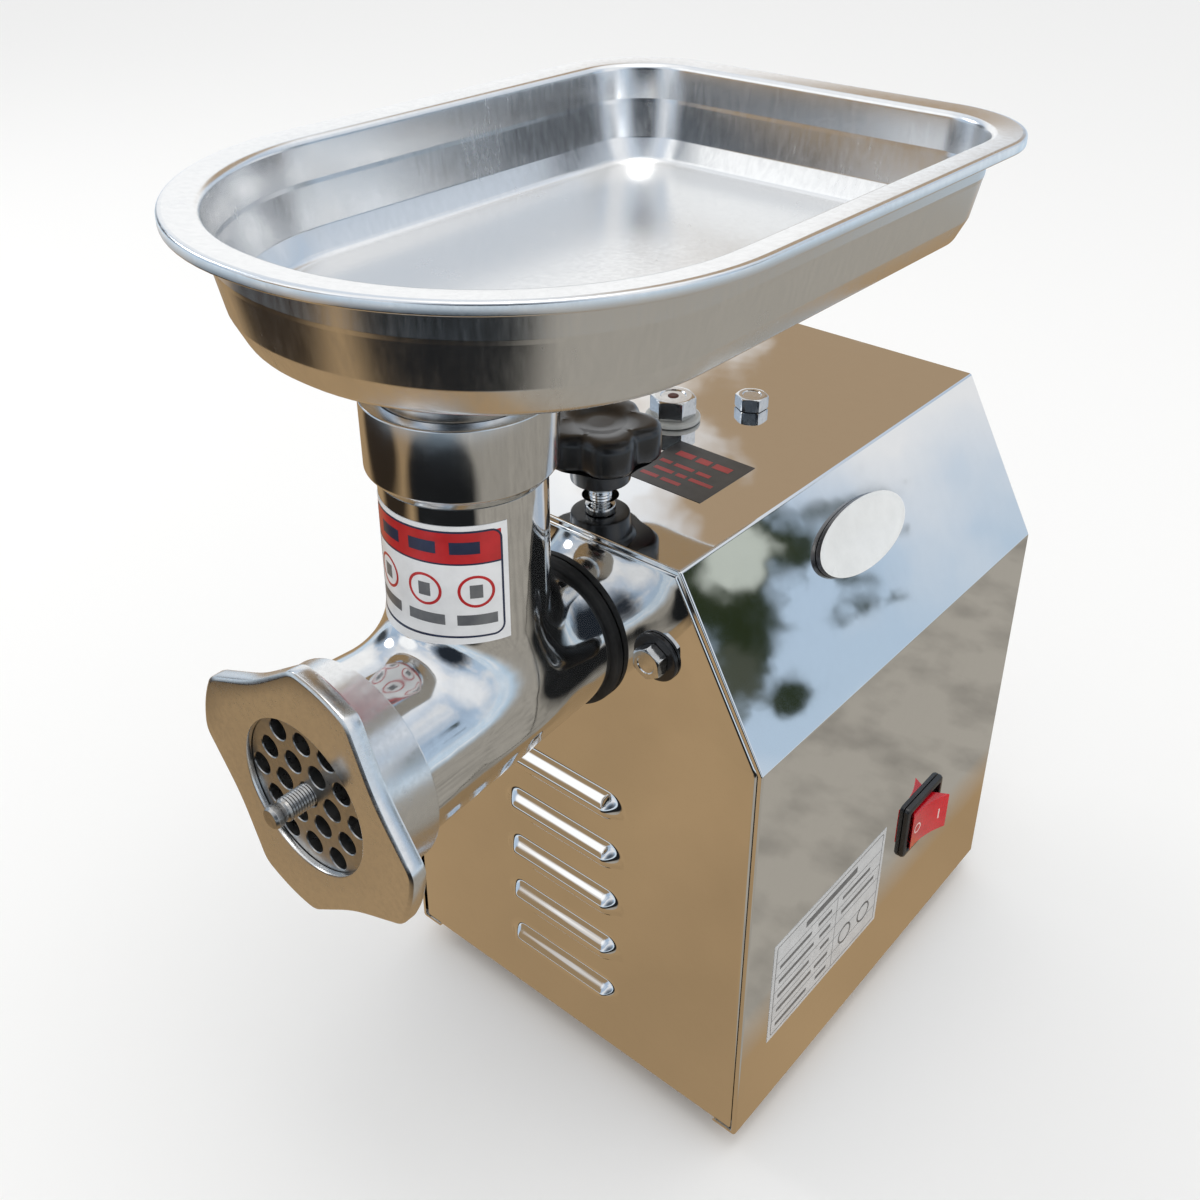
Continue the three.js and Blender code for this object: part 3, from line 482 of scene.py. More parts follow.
def plainMaterial(name):
    colour, second, rough, coat, bump, specular = plainFinishes[name]
    material, tree, shader = newMaterial(
        name, Metallic=0.0, Roughness=rough, Coat_Weight=coat, Coat_Roughness=0.08, Specular_IOR_Level=specular
    )
    grain = placeGroup(tree, grainGroup, Scale=700.0)
    marks = placeGroup(tree, smudgeGroup, Scale=30.0, Amount=0.3)
    tree.links.new(mixColours(tree, grain.outputs["Streaks"], colour, second), shader.inputs["Base Color"])
    worn = mathNode(tree, "ADD", mathNode(tree, "MULTIPLY", marks.outputs["Smudge"], 0.5), rough)
    tree.links.new(worn, shader.inputs["Roughness"])
    addBump(tree, shader, grain.outputs["Grain"], bump)
    return material


def rockerMaterial():
    material, tree, shader = newMaterial(
        "rockerRed", Metallic=0.0, Roughness=0.12, Coat_Weight=0.5, Coat_Roughness=0.05,
        Subsurface_Weight=0.25, Subsurface_Scale=0.003,
    )
    grain = placeGroup(tree, grainGroup, Scale=300.0)
    marks = placeGroup(tree, smudgeGroup, Scale=60.0, Amount=0.25)
    red = mixColours(tree, grain.outputs["Streaks"], (0.62, 0.008, 0.018), (0.48, 0.004, 0.012))
    tree.links.new(red, shader.inputs["Base Color"])
    tree.links.new(mathNode(tree, "ADD", marks.outputs["Smudge"], 0.12), shader.inputs["Roughness"])
    return material


def copperMaterial():
    material, tree, shader = newMaterial("windingCopper", Metallic=1.0, Roughness=0.35)
    grain = placeGroup(tree, grainGroup, Stretch=(0.3, 1, 1), Scale=900.0)
    brown = mixColours(tree, grain.outputs["Streaks"], (0.62, 0.28, 0.12), (0.36, 0.14, 0.06))
    tree.links.new(brown, shader.inputs["Base Color"])
    addBump(tree, shader, grain.outputs["Grain"], 0.2)
    return material


finishes = {name: steelMaterial(name) for name in steelFinishes}
finishes.update({name: plainMaterial(name) for name in plainFinishes})
finishes["rockerRed"] = rockerMaterial()
finishes["windingCopper"] = copperMaterial()
print("finishes made:", len(finishes))

# Casing: folded cover, front panel with louvres, rear panel and feet.
casing = {
    "half": coverHigh.x, "topHalf": 63, "slopeLow": coverTop - 78.5, "bottom": coverLow.z,
    "sheet": 1.2, "foldRadius": 2.0, "edgeRoll": 1.0, "hem": 13,
    "plugHole": 8, "boltHole": 4.4, "switchTrim": (1.8, 2.3), "drillSpan": (300, 320),
}


def coverCorners(inset):
    run = casing["half"] - casing["topHalf"]
    rise = coverTop - casing["slopeLow"]
    length = hypot(run, rise)
    across, up = rise / length, run / length
    lowZ = casing["slopeLow"] - inset * (1 - across) / up
    topX = casing["topHalf"] - inset * (1 - up) / across
    return casing["half"] - inset, lowZ, topX, coverTop - inset


def coverSection(inset):
    # The cover's outside path, hem to hem, drawn inset by that much.
    side, lowZ, topX, topZ = coverCorners(inset)
    bottom = casing["bottom"] + inset
    bend = max(0.3, casing["foldRadius"] - inset)
    hem = coverHigh.x - casing["hem"]
    return rounded([
        (hem, bottom), (side, bottom, bend), (side, lowZ, bend), (topX, topZ, bend),
        (-topX, topZ, bend), (-side, lowZ, bend), (-side, bottom, bend), (-hem, bottom),
    ], steps=6)


def makeCover():
    roll = casing["edgeRoll"]
    turns = [radians(15 * k) for k in range(7)]
    stations = [(roll - roll * sin(a), coverLow.y + roll - roll * cos(a)) for a in turns]
    stations += [(0, coverHigh.y - 0.6), (0.3, coverHigh.y)]
    rings = []
    for inset, y in stations:
        path = coverSection(inset) + coverSection(inset + casing["sheet"])[::-1]
        rings.append([(x, y, z) for x, z in path])
    around = len(rings[0])
    faces = loftFaces(around, len(rings))
    for ring in (0, len(rings) - 1):                      # narrow end faces, outside to inside
        for k in range(around // 2 - 1):
            a, b = ring * around + k, ring * around + around - 1 - k
            faces.append((a, a + 1, b - 1, b))
    cover = meshPiece("coverShell", [p for ring in rings for p in ring], faces)
    bottom, top = casing["drillSpan"]
    low, high = span("switch_body")
    trimY, trimZ = casing["switchTrim"]
    tools = [
        drill("z", middle("knob_stud").xy, casing["plugHole"], bottom, top, 48),
        drill("z", middle("breather_plug").xy, casing["plugHole"], bottom, top, 48),
        drill("z", middle("top_bolt").xy, casing["boltHole"], bottom, top),
        block("switchHole", (coverHigh.x - 5, low.y + trimY, low.z + trimZ),
              (coverHigh.x + 5, high.y - trimY, high.z - trimZ)),
    ]
    cutWith(cover, tools)
    evenShade(cover)
    finishPiece(cover, "casing", "mirror_steel", "polishedSheet", "housing_cover")


panel = {
    "inset": 2.5, "edgeRoll": 2.4, "thick": 1.2, "setBack": 0.2, "hubRadius": 33, "louvres": 5,
    "louvreLow": 40, "louvrePitch": 30, "louvreHalf": 38, "hoodHigh": 10.5, "hoodEnd": 11, "hoodRows": 22,
    "lip": 3.6, "rise": 5.8,
}


def hoodHeight(x, drop):
    # How far a louvre's hood stands out, drop being the height above its middle.
    past = max(0.0, abs(x) - (panel["louvreHalf"] - panel["hoodEnd"])) / panel["hoodEnd"]
    out = min(1.0, hypot(past, drop / panel["hoodHigh"]))
    return panel["rise"] * cos(pi / 2 * out) ** 2


def makeFrontPanel():
    inset, roll = panel["inset"], panel["edgeRoll"]
    lip, deep, hoodRows = panel["lip"], panel["lip"] + panel["hoodHigh"], panel["hoodRows"]
    firstLouvre = casing["bottom"] + panel["louvreLow"]
    low = casing["bottom"] + 1.5
    side, lowZ, topX, topZ = coverCorners(inset)
    edge = [roll * (1 - cos(radians(15 * k))) for k in range(7)]          # steps in from the border
    inner = [k * 1.0 for k in range(29)] + [28 + 0.4 * k for k in range(1, 26)] + [40, 44, 50]
    rows = [(low + step, None) for step in edge]          # height, and the middle of the hood that it is on
    for k in range(panel["louvres"]):
        z = firstLouvre + panel["louvrePitch"] * k
        rows += [(z - 12, None), (z - 6, None), (z - lip, None)]
        rows += [(z - lip + deep * j / hoodRows, z) for j in range(hoodRows + 1)]
    rows += [(z, None) for z in (200, 215, lowZ - 2, lowZ, lowZ + 2, 250, 265, 280, 295, 303)]
    rows += [(topZ - step, None) for step in reversed(edge)]
    points = []
    for z, hood in rows:
        half = side if z <= lowZ else side - (z - lowZ) * (side - topX) / (topZ - lowZ)
        reach = [*inner, *[half - step for step in reversed(edge)]]
        reach = [-x for x in reversed(reach[1:])] + reach
        columns = len(reach)
        for x in reach:
            border = min(half - abs(x), z - low, topZ - z)
            bent = max(0.0, roll - border)
            y = frontY + panel["setBack"] + roll - sqrt(max(0.0, roll * roll - bent * bent))
            if hood is not None:
                y -= hoodHeight(x, z - hood)
            points.append((x, y, z))
    faces = []
    for i in range(len(rows) - 1):
        for k in range(columns - 1):
            a = i * columns + k
            faces.append((a, a + 1, a + 1 + columns, a + columns))
    faces = [face for face in faces if not isSlot(points, face)]
    sheet = meshPiece("frontPanel", points, faces, 50)
    thicken = sheet.modifiers.new("thick", "SOLIDIFY")
    thicken.thickness = panel["thick"] * mm
    thicken.offset = -1 if sheet.data.polygons[0].normal.y < 0 else 1
    settle(sheet, 50)
    bolt = middle("front_bolt_right")
    front, back = frontY - 4, frontY + 8
    holes = [drill("y", (0, axisZ), panel["hubRadius"], front, back, 96)]
    for side in (-1, 1):
        holes.append(drill("y", (side * bolt.x, bolt.z), casing["boltHole"], front, back))
    cutWith(sheet, holes, 50)
    finishPiece(sheet, "casing", "mirror_steel", "polishedSheet", "front_panel")


def isSlot(points, face):
    # A face that stands upright between the panel and a raised lip is the louvre's opening.
    depths, heights = [points[i][1] for i in face], [points[i][2] for i in face]
    return max(heights) - min(heights) < 0.01 and max(depths) > min(depths)


rearTrim = {
    "inset": 1.5, "thick": 1.2, "setBack": 0.2, "slot": (2.5, 22), "slotEnd": 2.4, "slots": 6, "pitch": 16,
    "rows": (142, 198), "glandHole": 8.3, "screws": 4,
}


def makeRearPanel():
    inset = rearTrim["inset"]
    side, lowZ, topX, topZ = coverCorners(inset)
    bottom = casing["bottom"] + inset
    outline = rounded([
        (side, bottom, 1), (side, lowZ, 1.5), (topX, topZ, 1.5), (-topX, topZ, 1.5), (-side, lowZ, 1.5),
        (-side, bottom, 1),
    ], closed=True)
    back = coverHigh.y - rearTrim["setBack"]
    sheet = prism("rearPanel", outline, "y", back - rearTrim["thick"], back)
    tools = []
    wide, tall = rearTrim["slot"]
    end = rearTrim["slotEnd"]
    for z in rearTrim["rows"]:
        for k in range(rearTrim["slots"]):
            x = rearTrim["pitch"] * (k - (rearTrim["slots"] - 1) / 2)
            corners = [(x - wide, z - tall), (x + wide, z - tall), (x + wide, z + tall), (x - wide, z + tall)]
            shape = rounded([(*corner, end) for corner in corners], closed=True, steps=4)
            tools.append(prism("slot", shape, "y", back - 4, back + 3))
    gland = middle("cord_gland")
    tools.append(drill("y", (gland.x, gland.z), rearTrim["glandHole"], back - 4, back + 3))
    cutWith(sheet, tools)
    bevelEdges(sheet, 0.25, 2)
    finishPiece(sheet, "casing", "mirror_steel", "polishedSheet", "rear_panel")


def makeRearScrews():
    for k in range(1, rearTrim["screws"] + 1):
        node = f"rear_screw_{k}"
        place = middle(node)
        low, high = span(node)
        y = coverHigh.y - 0.1
        profile = rounded([
            (0, low.y), (2.1, low.y), (2.1, y), (4.4, y), (4.3, y + 1, 0.5), (3.2, y + 2.1, 1.2), (0, high.y),
        ])
        screw = turned(f"rearScrew{k}", profile, "y", (place.x, place.z), steps=40)
        tip = high.y - 1.4
        arms = [block("cross", (place.x - a, tip, place.z - b), (place.x + a, tip + 4, place.z + b))
                for a, b in ((0.5, 2.3), (2.3, 0.5))]
        cutWith(screw, arms)
        finishPiece(screw, "casing", "satin_steel", "boltSteel", node)


def makeFeet():
    for corner in ("front_left", "front_right", "rear_left", "rear_right"):
        place = middle(f"foot_{corner}")
        profile = rounded([
            (0, 0.9), (6, 0.9), (7, 0, 0.6), (12.2, 0, 1.2), (13.4, 2, 0.8), (14, 13.2), (0, 13.2),
        ])
        words = corner.split("_")
        foot = turned("foot" + words[0].title() + words[1].title(), profile, "z", place.xy, steps=64)
        finishPiece(foot, "casing", "black_rubber", "blackRubber", f"foot_{corner}")


# Seals, bolts and washers on the casing.
def hexBolt(name, axis, through, across, head, faceAt, shank, recess=0.0):
    # head and shank are (start, end) along the axis, and faceAt is the end of the head that shows.
    outward = 1 if faceAt >= max(head) - 1e-6 else -1
    steps = 96
    shankRadius, tiny = 4.0, 0.001

    def hexRing(along, limit):
        ring = []
        for k in range(steps):
            angle = 2 * pi * k / steps
            fromFlat = (angle + pi / 6) % (pi / 3) - pi / 6
            r = min(across / 2 / cos(fromFlat), limit)
            a, b = through[0] + r * cos(angle), through[1] + r * sin(angle)
            ring.append((a, along, b) if axis == "y" else (a, b, along))
        return ring

    corner = across / sqrt(3)
    chamfer = (corner - across / 2) * 0.62
    base = faceAt - outward * abs(head[1] - head[0])
    rings = [circle(axis, through, r, along, steps) for r, along in (
        (tiny, shank), (shankRadius, shank), (shankRadius, base),
    )]
    rings += [hexRing(base, corner - 0.5), hexRing(base + outward * 0.35, corner)]
    for k in range(9):
        t = k / 8
        limit = corner - (corner - across / 2 + 0.35) * t ** 1.6
        rings.append(hexRing(faceAt - outward * chamfer * (1 - t), limit))
    rings.append(circle(axis, through, across / 2 - 0.9, faceAt, steps))
    if recess:
        rings.append(circle(axis, through, across * 0.33, faceAt, steps))
        rings.append(circle(axis, through, across * 0.30, faceAt - outward * recess, steps))
    rings.append(circle(axis, through, tiny, faceAt - outward * recess, steps))
    return loft(name, rings, caps=False, crisp=24)


def makeSealsAndBolts():
    low, high = span("hub_gasket")
    gasket = turned("hubGasket", rounded([
        (30.4, low.y), (35.5, low.y, 1.6), (35.5, high.y, 0.4), (30.4, high.y),
    ], closed=True), "y", (headAxis.x, axisZ), closed=True, steps=144)
    finishPiece(gasket, "casing", "black_rubber", "blackRubber", "hub_gasket")
    for side in ("left", "right"):
        place = middle(f"front_washer_{side}")
        low, high = span(f"front_washer_{side}")
        washer = turned(f"frontWasher{side.title()}", rounded([
            (4.3, low.y), (11, low.y, 0.8), (11, high.y), (4.3, high.y),
        ], closed=True), "y", (place.x, place.z), closed=True, steps=72)
        finishPiece(washer, "casing", "black_rubber", "blackGloss", f"front_washer_{side}")
        low, high = span(f"front_bolt_{side}")
        head = (low.y, low.y + 5.6)
        bolt = hexBolt(f"frontBolt{side.title()}", "y", (place.x, place.z), 13, head, low.y, high.y, 0.35)
        finishPiece(bolt, "casing", "cast_steel", "boltSteel", f"front_bolt_{side}")
    place = middle("breather_washer")
    low, high = span("breather_washer")
    washer = turned("breatherWasher", rounded([
        (6.3, low.z), (13.2, low.z, 0.8), (13.2, high.z, 1.0), (6.3, high.z, 0.3),
    ], closed=True), "z", place.xy, closed=True, steps=96)
    finishPiece(washer, "casing", "white_plastic", "paleSeal", "breather_washer")
    low, high = span("breather_plug")
    plug = hexBolt("breatherPlug", "z", place.xy, 19, (high.z - 9.5, high.z), high.z, low.z, 0.5)
    finishPiece(plug, "casing", "cast_steel", "boltSteel", "breather_plug")
    top = high.z
    dot = turned("breatherDot", rounded([
        (0, top - 0.7), (2.6, top - 0.7), (2.6, top - 0.25, 0.2), (1.6, top + 0.05, 0.3), (0, top - 0.1),
    ]), "z", place.xy, steps=48)
    finishPiece(dot, "casing", "red_plastic", "rustDot")
    place = middle("top_bolt")
    low, high = span("top_bolt")
    bolt = hexBolt("topBolt", "z", place.xy, 14, (high.z - 6.5, high.z), high.z, low.z, 0.4)
    finishPiece(bolt, "casing", "cast_steel", "boltSteel", "top_bolt")


badge = {"halfWide": 15, "halfLong": 35.5, "face": 3.0, "along": 57.5, "steps": 120}


def slopeSpot(along, y, out):
    # A point on the right-hand slope: distance up the slope, distance along the machine, height off the sheet.
    run, rise = casing["half"] - casing["topHalf"], coverTop - casing["slopeLow"]
    length = hypot(run, rise)
    return (
        casing["half"] - along * run / length + out * rise / length, y,
        casing["slopeLow"] + along * rise / length + out * run / length,
    )


def makeBadge():
    centreY = middle("badge").y
    profile = rounded([
        (0.0, 0.3), (1.0, 0.3), (1.0, 2.7, 0.5), (0.965, 2.95, 0.1), (0.93, 2.8, 0.1), (0.5, 2.97), (0.0, 3.0),
    ])
    rings = []
    for share, out in profile:
        ring = []
        for k in range(badge["steps"]):
            angle = 2 * pi * k / badge["steps"]
            along = badge["along"] + badge["halfWide"] * share * sin(angle)
            y = centreY + badge["halfLong"] * share * cos(angle)
            ring.append(slopeSpot(along, y, min(out, badge["face"])))
        rings.append(ring)
    oval = loft("badgePlate", rings, caps=False)
    finishPiece(oval, "casing", "white_plastic", "badgeWhite", "badge")
    oval.data.materials.append(finishes["badgeEdge"])
    run, rise = casing["half"] - casing["topHalf"], coverTop - casing["slopeLow"]
    outward = Vector((rise, 0, run)).normalized()
    for face in oval.data.polygons:
        if face.normal.dot(outward) < 0.6:
            face.material_index = 1


# Electrical trim.
switch = {"rim": 3.4, "tilt": 11, "pivotOut": 0.5, "half": 14.4, "reach": 11.2, "dish": 4.0, "heel": 6.5}


def boxRing(centre, wide, tall, corner, x, steps=6):
    spots = ((-wide, -tall), (wide, -tall), (wide, tall), (-wide, tall))
    shape = rounded([(*spot, corner) for spot in spots],
                    closed=True, steps=steps)
    return [(x, centre[0] + a, centre[1] + b) for a, b in shape]


def makeSwitch():
    low, high = span("switch_body")
    centre = (middle("switch_body").y, middle("switch_body").z)
    wide, tall = (high.y - low.y) / 2, (high.z - low.z) / 2
    face, sheet, rim = high.x, coverHigh.x, switch["rim"]
    section = (                                           # inset, distance out, corner radius
        (4.4, sheet - 26, 1.0), (4.4, sheet + 0.3, 1.0), (0, sheet + 0.3, 2.4), (0, face - 1.5, 2.4),
        (0.45, face - 0.45, 2.4), (1.5, face, 2.0), (rim - 0.4, face, 1.0), (rim, face - 0.5, 0.8),
        (rim, sheet - 8, 0.8),
    )
    body = loft("switchBezel", [boxRing(centre, wide - inset, tall - inset, r, x) for inset, x, r in section])
    finishPiece(body, "casing", "black_plastic", "blackGloss", "switch_body")


def rockerPoint(out, along, up):
    # Rocker's own axes to the machine's: out of the face, along the machine, and upward.
    centre = middle("switch_body")
    tilt = radians(-switch["tilt"])
    x = out * cos(tilt) - along * sin(tilt)
    y = out * sin(tilt) + along * cos(tilt)
    return (coverHigh.x + switch["pivotOut"] + x, centre.y + y, centre.z + up)


def rockerFace(along):
    # The dished front, as far out as it stands at that place along it.
    crest = span("rocker")[1].x - coverHigh.x - switch["pivotOut"]
    tilt = radians(switch["tilt"])
    face = (crest - switch["half"] * sin(tilt)) / cos(tilt)
    t = (along + switch["half"]) / (2 * switch["half"])
    return face - 2 * switch["dish"] * t * (1 - t)


def makeRocker():
    half, reach, heel = switch["half"], switch["reach"], switch["heel"]
    outline = [(rockerFace(half * k / 10), half * k / 10) for k in range(-10, 11)]
    outline += [(-heel * cos(radians(a)), heel * sin(radians(a))) for a in range(60, -61, -20)]
    sides = [[rockerPoint(out, along, up) for out, along in outline] for up in (-reach, reach)]
    rocker = loft("rockerKey", sides)
    bevelEdges(rocker, 0.7, 3, angle=35)
    finishPiece(rocker, "switch_rocker", "red_plastic", "rockerRed", "rocker")
    onFace = lambda u, v, h: rockerPoint(rockerFace(u) + h, u, v)
    bar = slab(onFace, 8.2, 9.1, -3.2, 3.2, -0.2, 0.06, 0.45)
    ring = slabRing(onFace, (-8.4, 0), 2.7, 0.42, -0.2, 0.06)
    marks = joinPieces("rockerMarks", [meshPiece("mark", *bar), meshPiece("mark", *ring)])
    finishPiece(marks, "switch_rocker", "white_plastic", "rockerMark")


def slab(place, u0, u1, v0, v1, h0, h1, step=1.0):
    # A thin block in a label's own axes, divided both ways so that it can follow a curve.
    count = max(1, round((u1 - u0) / step))
    rows = max(1, round((v1 - v0) / step))
    vs = [v0 + (v1 - v0) * k / rows for k in range(rows + 1)]
    outline = [(v, h1) for v in vs] + [(v, h0) for v in reversed(vs)]
    points = [place(u0 + (u1 - u0) * k / count, v, h) for k in range(count + 1) for v, h in outline]
    around = len(outline)
    faces = loftFaces(around, count + 1)
    for end in (0, around * count):
        faces += [(end + k, end + k + 1, end + around - 2 - k, end + around - 1 - k) for k in range(rows)]
    return points, faces


def slabRing(place, centre, radius, half, h0, h1, steps=48):
    section = [(radius - half, h0), (radius + half, h0), (radius + half, h1), (radius - half, h1)]
    points = []
    for k in range(steps):
        angle = 2 * pi * k / steps
        points += [place(centre[0] + r * cos(angle), centre[1] + r * sin(angle), h) for r, h in section]
    return points, loftFaces(4, steps, wrapRings=True)


def slabPath(place, path, half, h0, h1):
    # A closed line of that half width, with its corners already rounded.
    count = len(path)
    points = []
    for k, (u, v) in enumerate(path):
        back, on = Vector(path[k - 1]), Vector(path[(k + 1) % count])
        side = (on - back).normalized()
        side = Vector((side.y, -side.x))
        for off, h in ((-half, h0), (half, h0), (half, h1), (-half, h1)):
            points.append(place(u + side.x * off, v + side.y * off, h))
    return points, loftFaces(4, count, wrapRings=True)


def roundedPath(u0, u1, v0, v1, corner, step=1.5):
    corners = [(u0, v0, corner), (u1, v0, corner), (u1, v1, corner), (u0, v1, corner)]
    corners = rounded(corners, closed=True, steps=6)
    path = []
    for k, here in enumerate(corners):
        on = corners[(k + 1) % len(corners)]
        count = max(1, round(hypot(on[0] - here[0], on[1] - here[1]) / step))
        a, b = (on[0] - here[0]) / count, (on[1] - here[1]) / count
        path += [(here[0] + a * j, here[1] + b * j) for j in range(count)]
    return path


def makeGland():
    low, high = span("cord_gland")
    place = middle("cord_gland")
    back = coverHigh.y
    body = turned("cordGland", rounded([
        (4, low.y), (11, low.y), (11, low.y + 9, 0.5), (7.9, low.y + 9), (7.9, back + 0.1), (11.5, back + 0.1),
        (11.5, back + 5, 0.6), (9.6, back + 6.4, 0.6), (9.2, high.y - 2, 1.5), (6.4, high.y, 0.8), (4.6, high.y, 0.5),
        (4, high.y - 1.5),
    ], closed=True), "y", (place.x, place.z), closed=True, steps=72)
    finishPiece(body, "casing", "black_plastic", "blackRubber", "cord_gland")


makeCover()
makeFrontPanel()
makeRearPanel()
makeRearScrews()
makeFeet()
makeSealsAndBolts()
makeBadge()
makeSwitch()
makeRocker()
makeGland()
print("casing made")

# Grinding head: one casting with a smooth fillet where the neck leaves the barrel.
casting = {
    "shoulder": headAxis.y + 128.95, "end": headAxis.y + 21.75,       # y of the barrel's rear and of its thread
    "outside": (32.3, 38.3, 31.8, 17.0),                  # radii at the rear, front and neck, and the fillet
    "inside": (27.0, 31.2, 27.5, 4.0),
    "neckRadius": 31.8, "neckBore": 27.5, "neckTop": 357.0, "outsideGrid": 1.25, "insideGrid": 2.0,
}


def castingField(points, rearRadius, frontRadius, neckRadius, fillet):
    # Signed distance to a tapered barrel and an upright neck, blended where they meet.
    share = (casting["shoulder"] - points[:, 1]) / (casting["shoulder"] - casting["end"])
    barrel = np.hypot(points[:, 0], points[:, 2] - axisZ) - (rearRadius + (frontRadius - rearRadius) * share)
    neck = np.hypot(points[:, 0], points[:, 1] - neckY) - neckRadius
    below = points[:, 2] < axisZ
    neck = np.where(below, np.sqrt(np.maximum(neck, 0) ** 2 + (axisZ - points[:, 2]) ** 2), neck)
    near = np.maximum(fillet - np.abs(barrel - neck), 0) / fillet
    return np.minimum(barrel, neck) - near * near * fillet * 0.25


def neckSurface(angle, z):
    # How far out the casting stands at that height and angle round the neck.
    radius = casting["neckRadius"]
    for _ in range(8):
        spot = np.array([[radius * cos(angle), neckY + radius * sin(angle), z]])
        radius -= castingField(spot, *casting["outside"])[0]
    return radius


def castingSkin(rearRadius, frontRadius, neckRadius, fillet, gridSize):
    # A rough union, remeshed evenly and then pulled onto the blended surface.
    slope = (frontRadius - rearRadius) / (casting["shoulder"] - casting["end"])
    over = 9                                              # runs past each end, to be trimmed off
    rear, front, top = casting["shoulder"] + over, casting["end"] - over, casting["neckTop"] + over
    barrel = turned("barrel", [
        (0, rear), (rearRadius - over * slope, rear), (frontRadius + over * slope, front), (0, front),
    ], "y", (0, axisZ), steps=72)
    profile = [(0, axisZ), (neckRadius, axisZ), (neckRadius, top), (0, top)]
    neck = turned("neck", profile, "z", (0, neckY), steps=72)
    cutWith(barrel, [neck], operation="UNION")
    remesh = barrel.modifiers.new("even", "REMESH")
    remesh.mode = "VOXEL"
    remesh.voxel_size = gridSize * mm
    settle(barrel)
    mesh = barrel.data
    count = len(mesh.vertices)
    flat = np.zeros(count * 3)
    mesh.vertices.foreach_get("co", flat)
    points = (flat.reshape(-1, 3) - np.array([casingX, casingY, 0])) / mm
    ends = np.zeros(len(mesh.edges) * 2, int)
    mesh.edges.foreach_get("vertices", ends)
    a, b = ends[::2], ends[1::2]
    degree = np.bincount(np.concatenate((a, b)), minlength=count)[:, None]
    field = lambda p: castingField(p, rearRadius, frontRadius, neckRadius, fillet)

    def pull(points):
        tiny = 0.01
        here = field(points)
        slopeAt = np.stack([(field(points + tiny * axis) - here) / tiny for axis in np.eye(3)], 1)
        steep = np.maximum((slopeAt ** 2).sum(1), 0.2)
        return points - slopeAt * (here / steep)[:, None]

    for _ in range(3):
        points = pull(points)
    for _ in range(8):                                   # even out the grid along the surface
        total = np.zeros_like(points)
        np.add.at(total, a, points[b])
        np.add.at(total, b, points[a])
        points = pull(points + 0.6 * (total / degree - points))
    points = pull(points)
    inFrame = points * mm + np.array([casingX, casingY, 0])
    mesh.vertices.foreach_set("co", inFrame.ravel())
    mesh.update()
    return barrel


def trimSkin(piece):
    bm = bmesh.new()
    bm.from_mesh(piece.data)
    cuts = (
        ((0, casting["shoulder"], 0), (0, 1, 0)),
        ((0, casting["end"], 0), (0, -1, 0)),
        ((0, 0, casting["neckTop"]), (0, 0, 1)),
    )
    for place, outward in cuts:
        everything = bm.verts[:] + bm.edges[:] + bm.faces[:]
        bmesh.ops.bisect_plane(bm, geom=everything, plane_co=toFrame(place), plane_no=outward, clear_outer=True)
    bm.to_mesh(piece.data)
    bm.free()


def makeCasting():
    outer = castingSkin(*casting["outside"], casting["outsideGrid"])
    inner = castingSkin(*casting["inside"], casting["insideGrid"])
    trimSkin(outer)
    trimSkin(inner)
    bm = bmesh.new()
    bm.from_mesh(inner.data)
    bmesh.ops.reverse_faces(bm, faces=bm.faces)
    bm.from_mesh(outer.data)
    bpy.data.objects.remove(inner)
    rims = (
        (1, toFrame((0, casting["shoulder"], 0))[1]),
        (1, toFrame((0, casting["end"], 0))[1]),
        (2, casting["neckTop"] * mm),
    )
    for axis, level in rims:
        rim = [e for e in bm.edges if e.is_boundary and all(abs(v.co[axis] - level) < 2e-5 for v in e.verts)]
        bmesh.ops.bridge_loops(bm, edges=rim)
    bmesh.ops.recalc_face_normals(bm, faces=bm.faces)
    bm.to_mesh(outer.data)
    bm.free()
    outer.name = "headCasting"
    smoothShade(outer, 40)
    finishPiece(outer, "grinding_head", "cast_steel", "castPolish", "head")


collar = {"radius": 36.3, "top": span("head")[1].z, "socket": 30.3, "socketFloor": 364, "overlap": 0.02}


def makeCollar():
    neck, bore = casting["neckRadius"], casting["neckBore"]
    seat, top, floor = casting["neckTop"] + collar["overlap"], collar["top"], collar["socketFloor"]
    profile = rounded([
        (bore, seat), (neck - 0.5, seat, 0.3), (neck + 0.35, 357.6, 0.3), (collar["radius"] - 0.2, 362.0, 1.6),
        (collar["radius"], top, 0.7), (collar["socket"], top, 0.5), (collar["socket"], floor), (bore, floor, 0.6),
    ], closed=True)
    ring = turned("headCollar", profile, "z", (0, neckY), closed=True, steps=160)
    finishPiece(ring, "grinding_head", "cast_steel", "collarSteel")
    front = span("head")[0].y
    end, rear = casting["end"], casting["shoulder"] + collar["overlap"]
    seat = end - collar["overlap"]
    threads = [(39.8 - 0.7 * (k % 2), end - 1 - k) for k in range(18)]
    mouth = turned("headThread", [
        (31.2, seat), (38, seat), *threads, (38.6, front), (35.3, front), (35.3, front + 3.2), (34, front + 3.2),
        (34, end - 9.8), (31.4, end - 9.8),
    ], "y", (0, axisZ), closed=True, steps=120)
    finishPiece(mouth, "grinding_head", "cast_steel", "castPolish")
    shank = turned("headShank", rounded([
        (19.5, -91), (30, -91, 1.2), (30, rear), (12.8, rear), (12.8, -124), (19.5, -124),
    ], closed=True), "y", (0, axisZ), closed=True, steps=120)
    finishPiece(shank, "grinding_head", "cast_steel", "boltSteel")


ringNut = {
    "lobe": 58, "hollow": 47.6, "lobeHalf": 15, "firstLobe": 73, "flange": 7, "collar": 42.5, "mouth": 32.2,
    "inside": 40.2, "steps": 288,
}


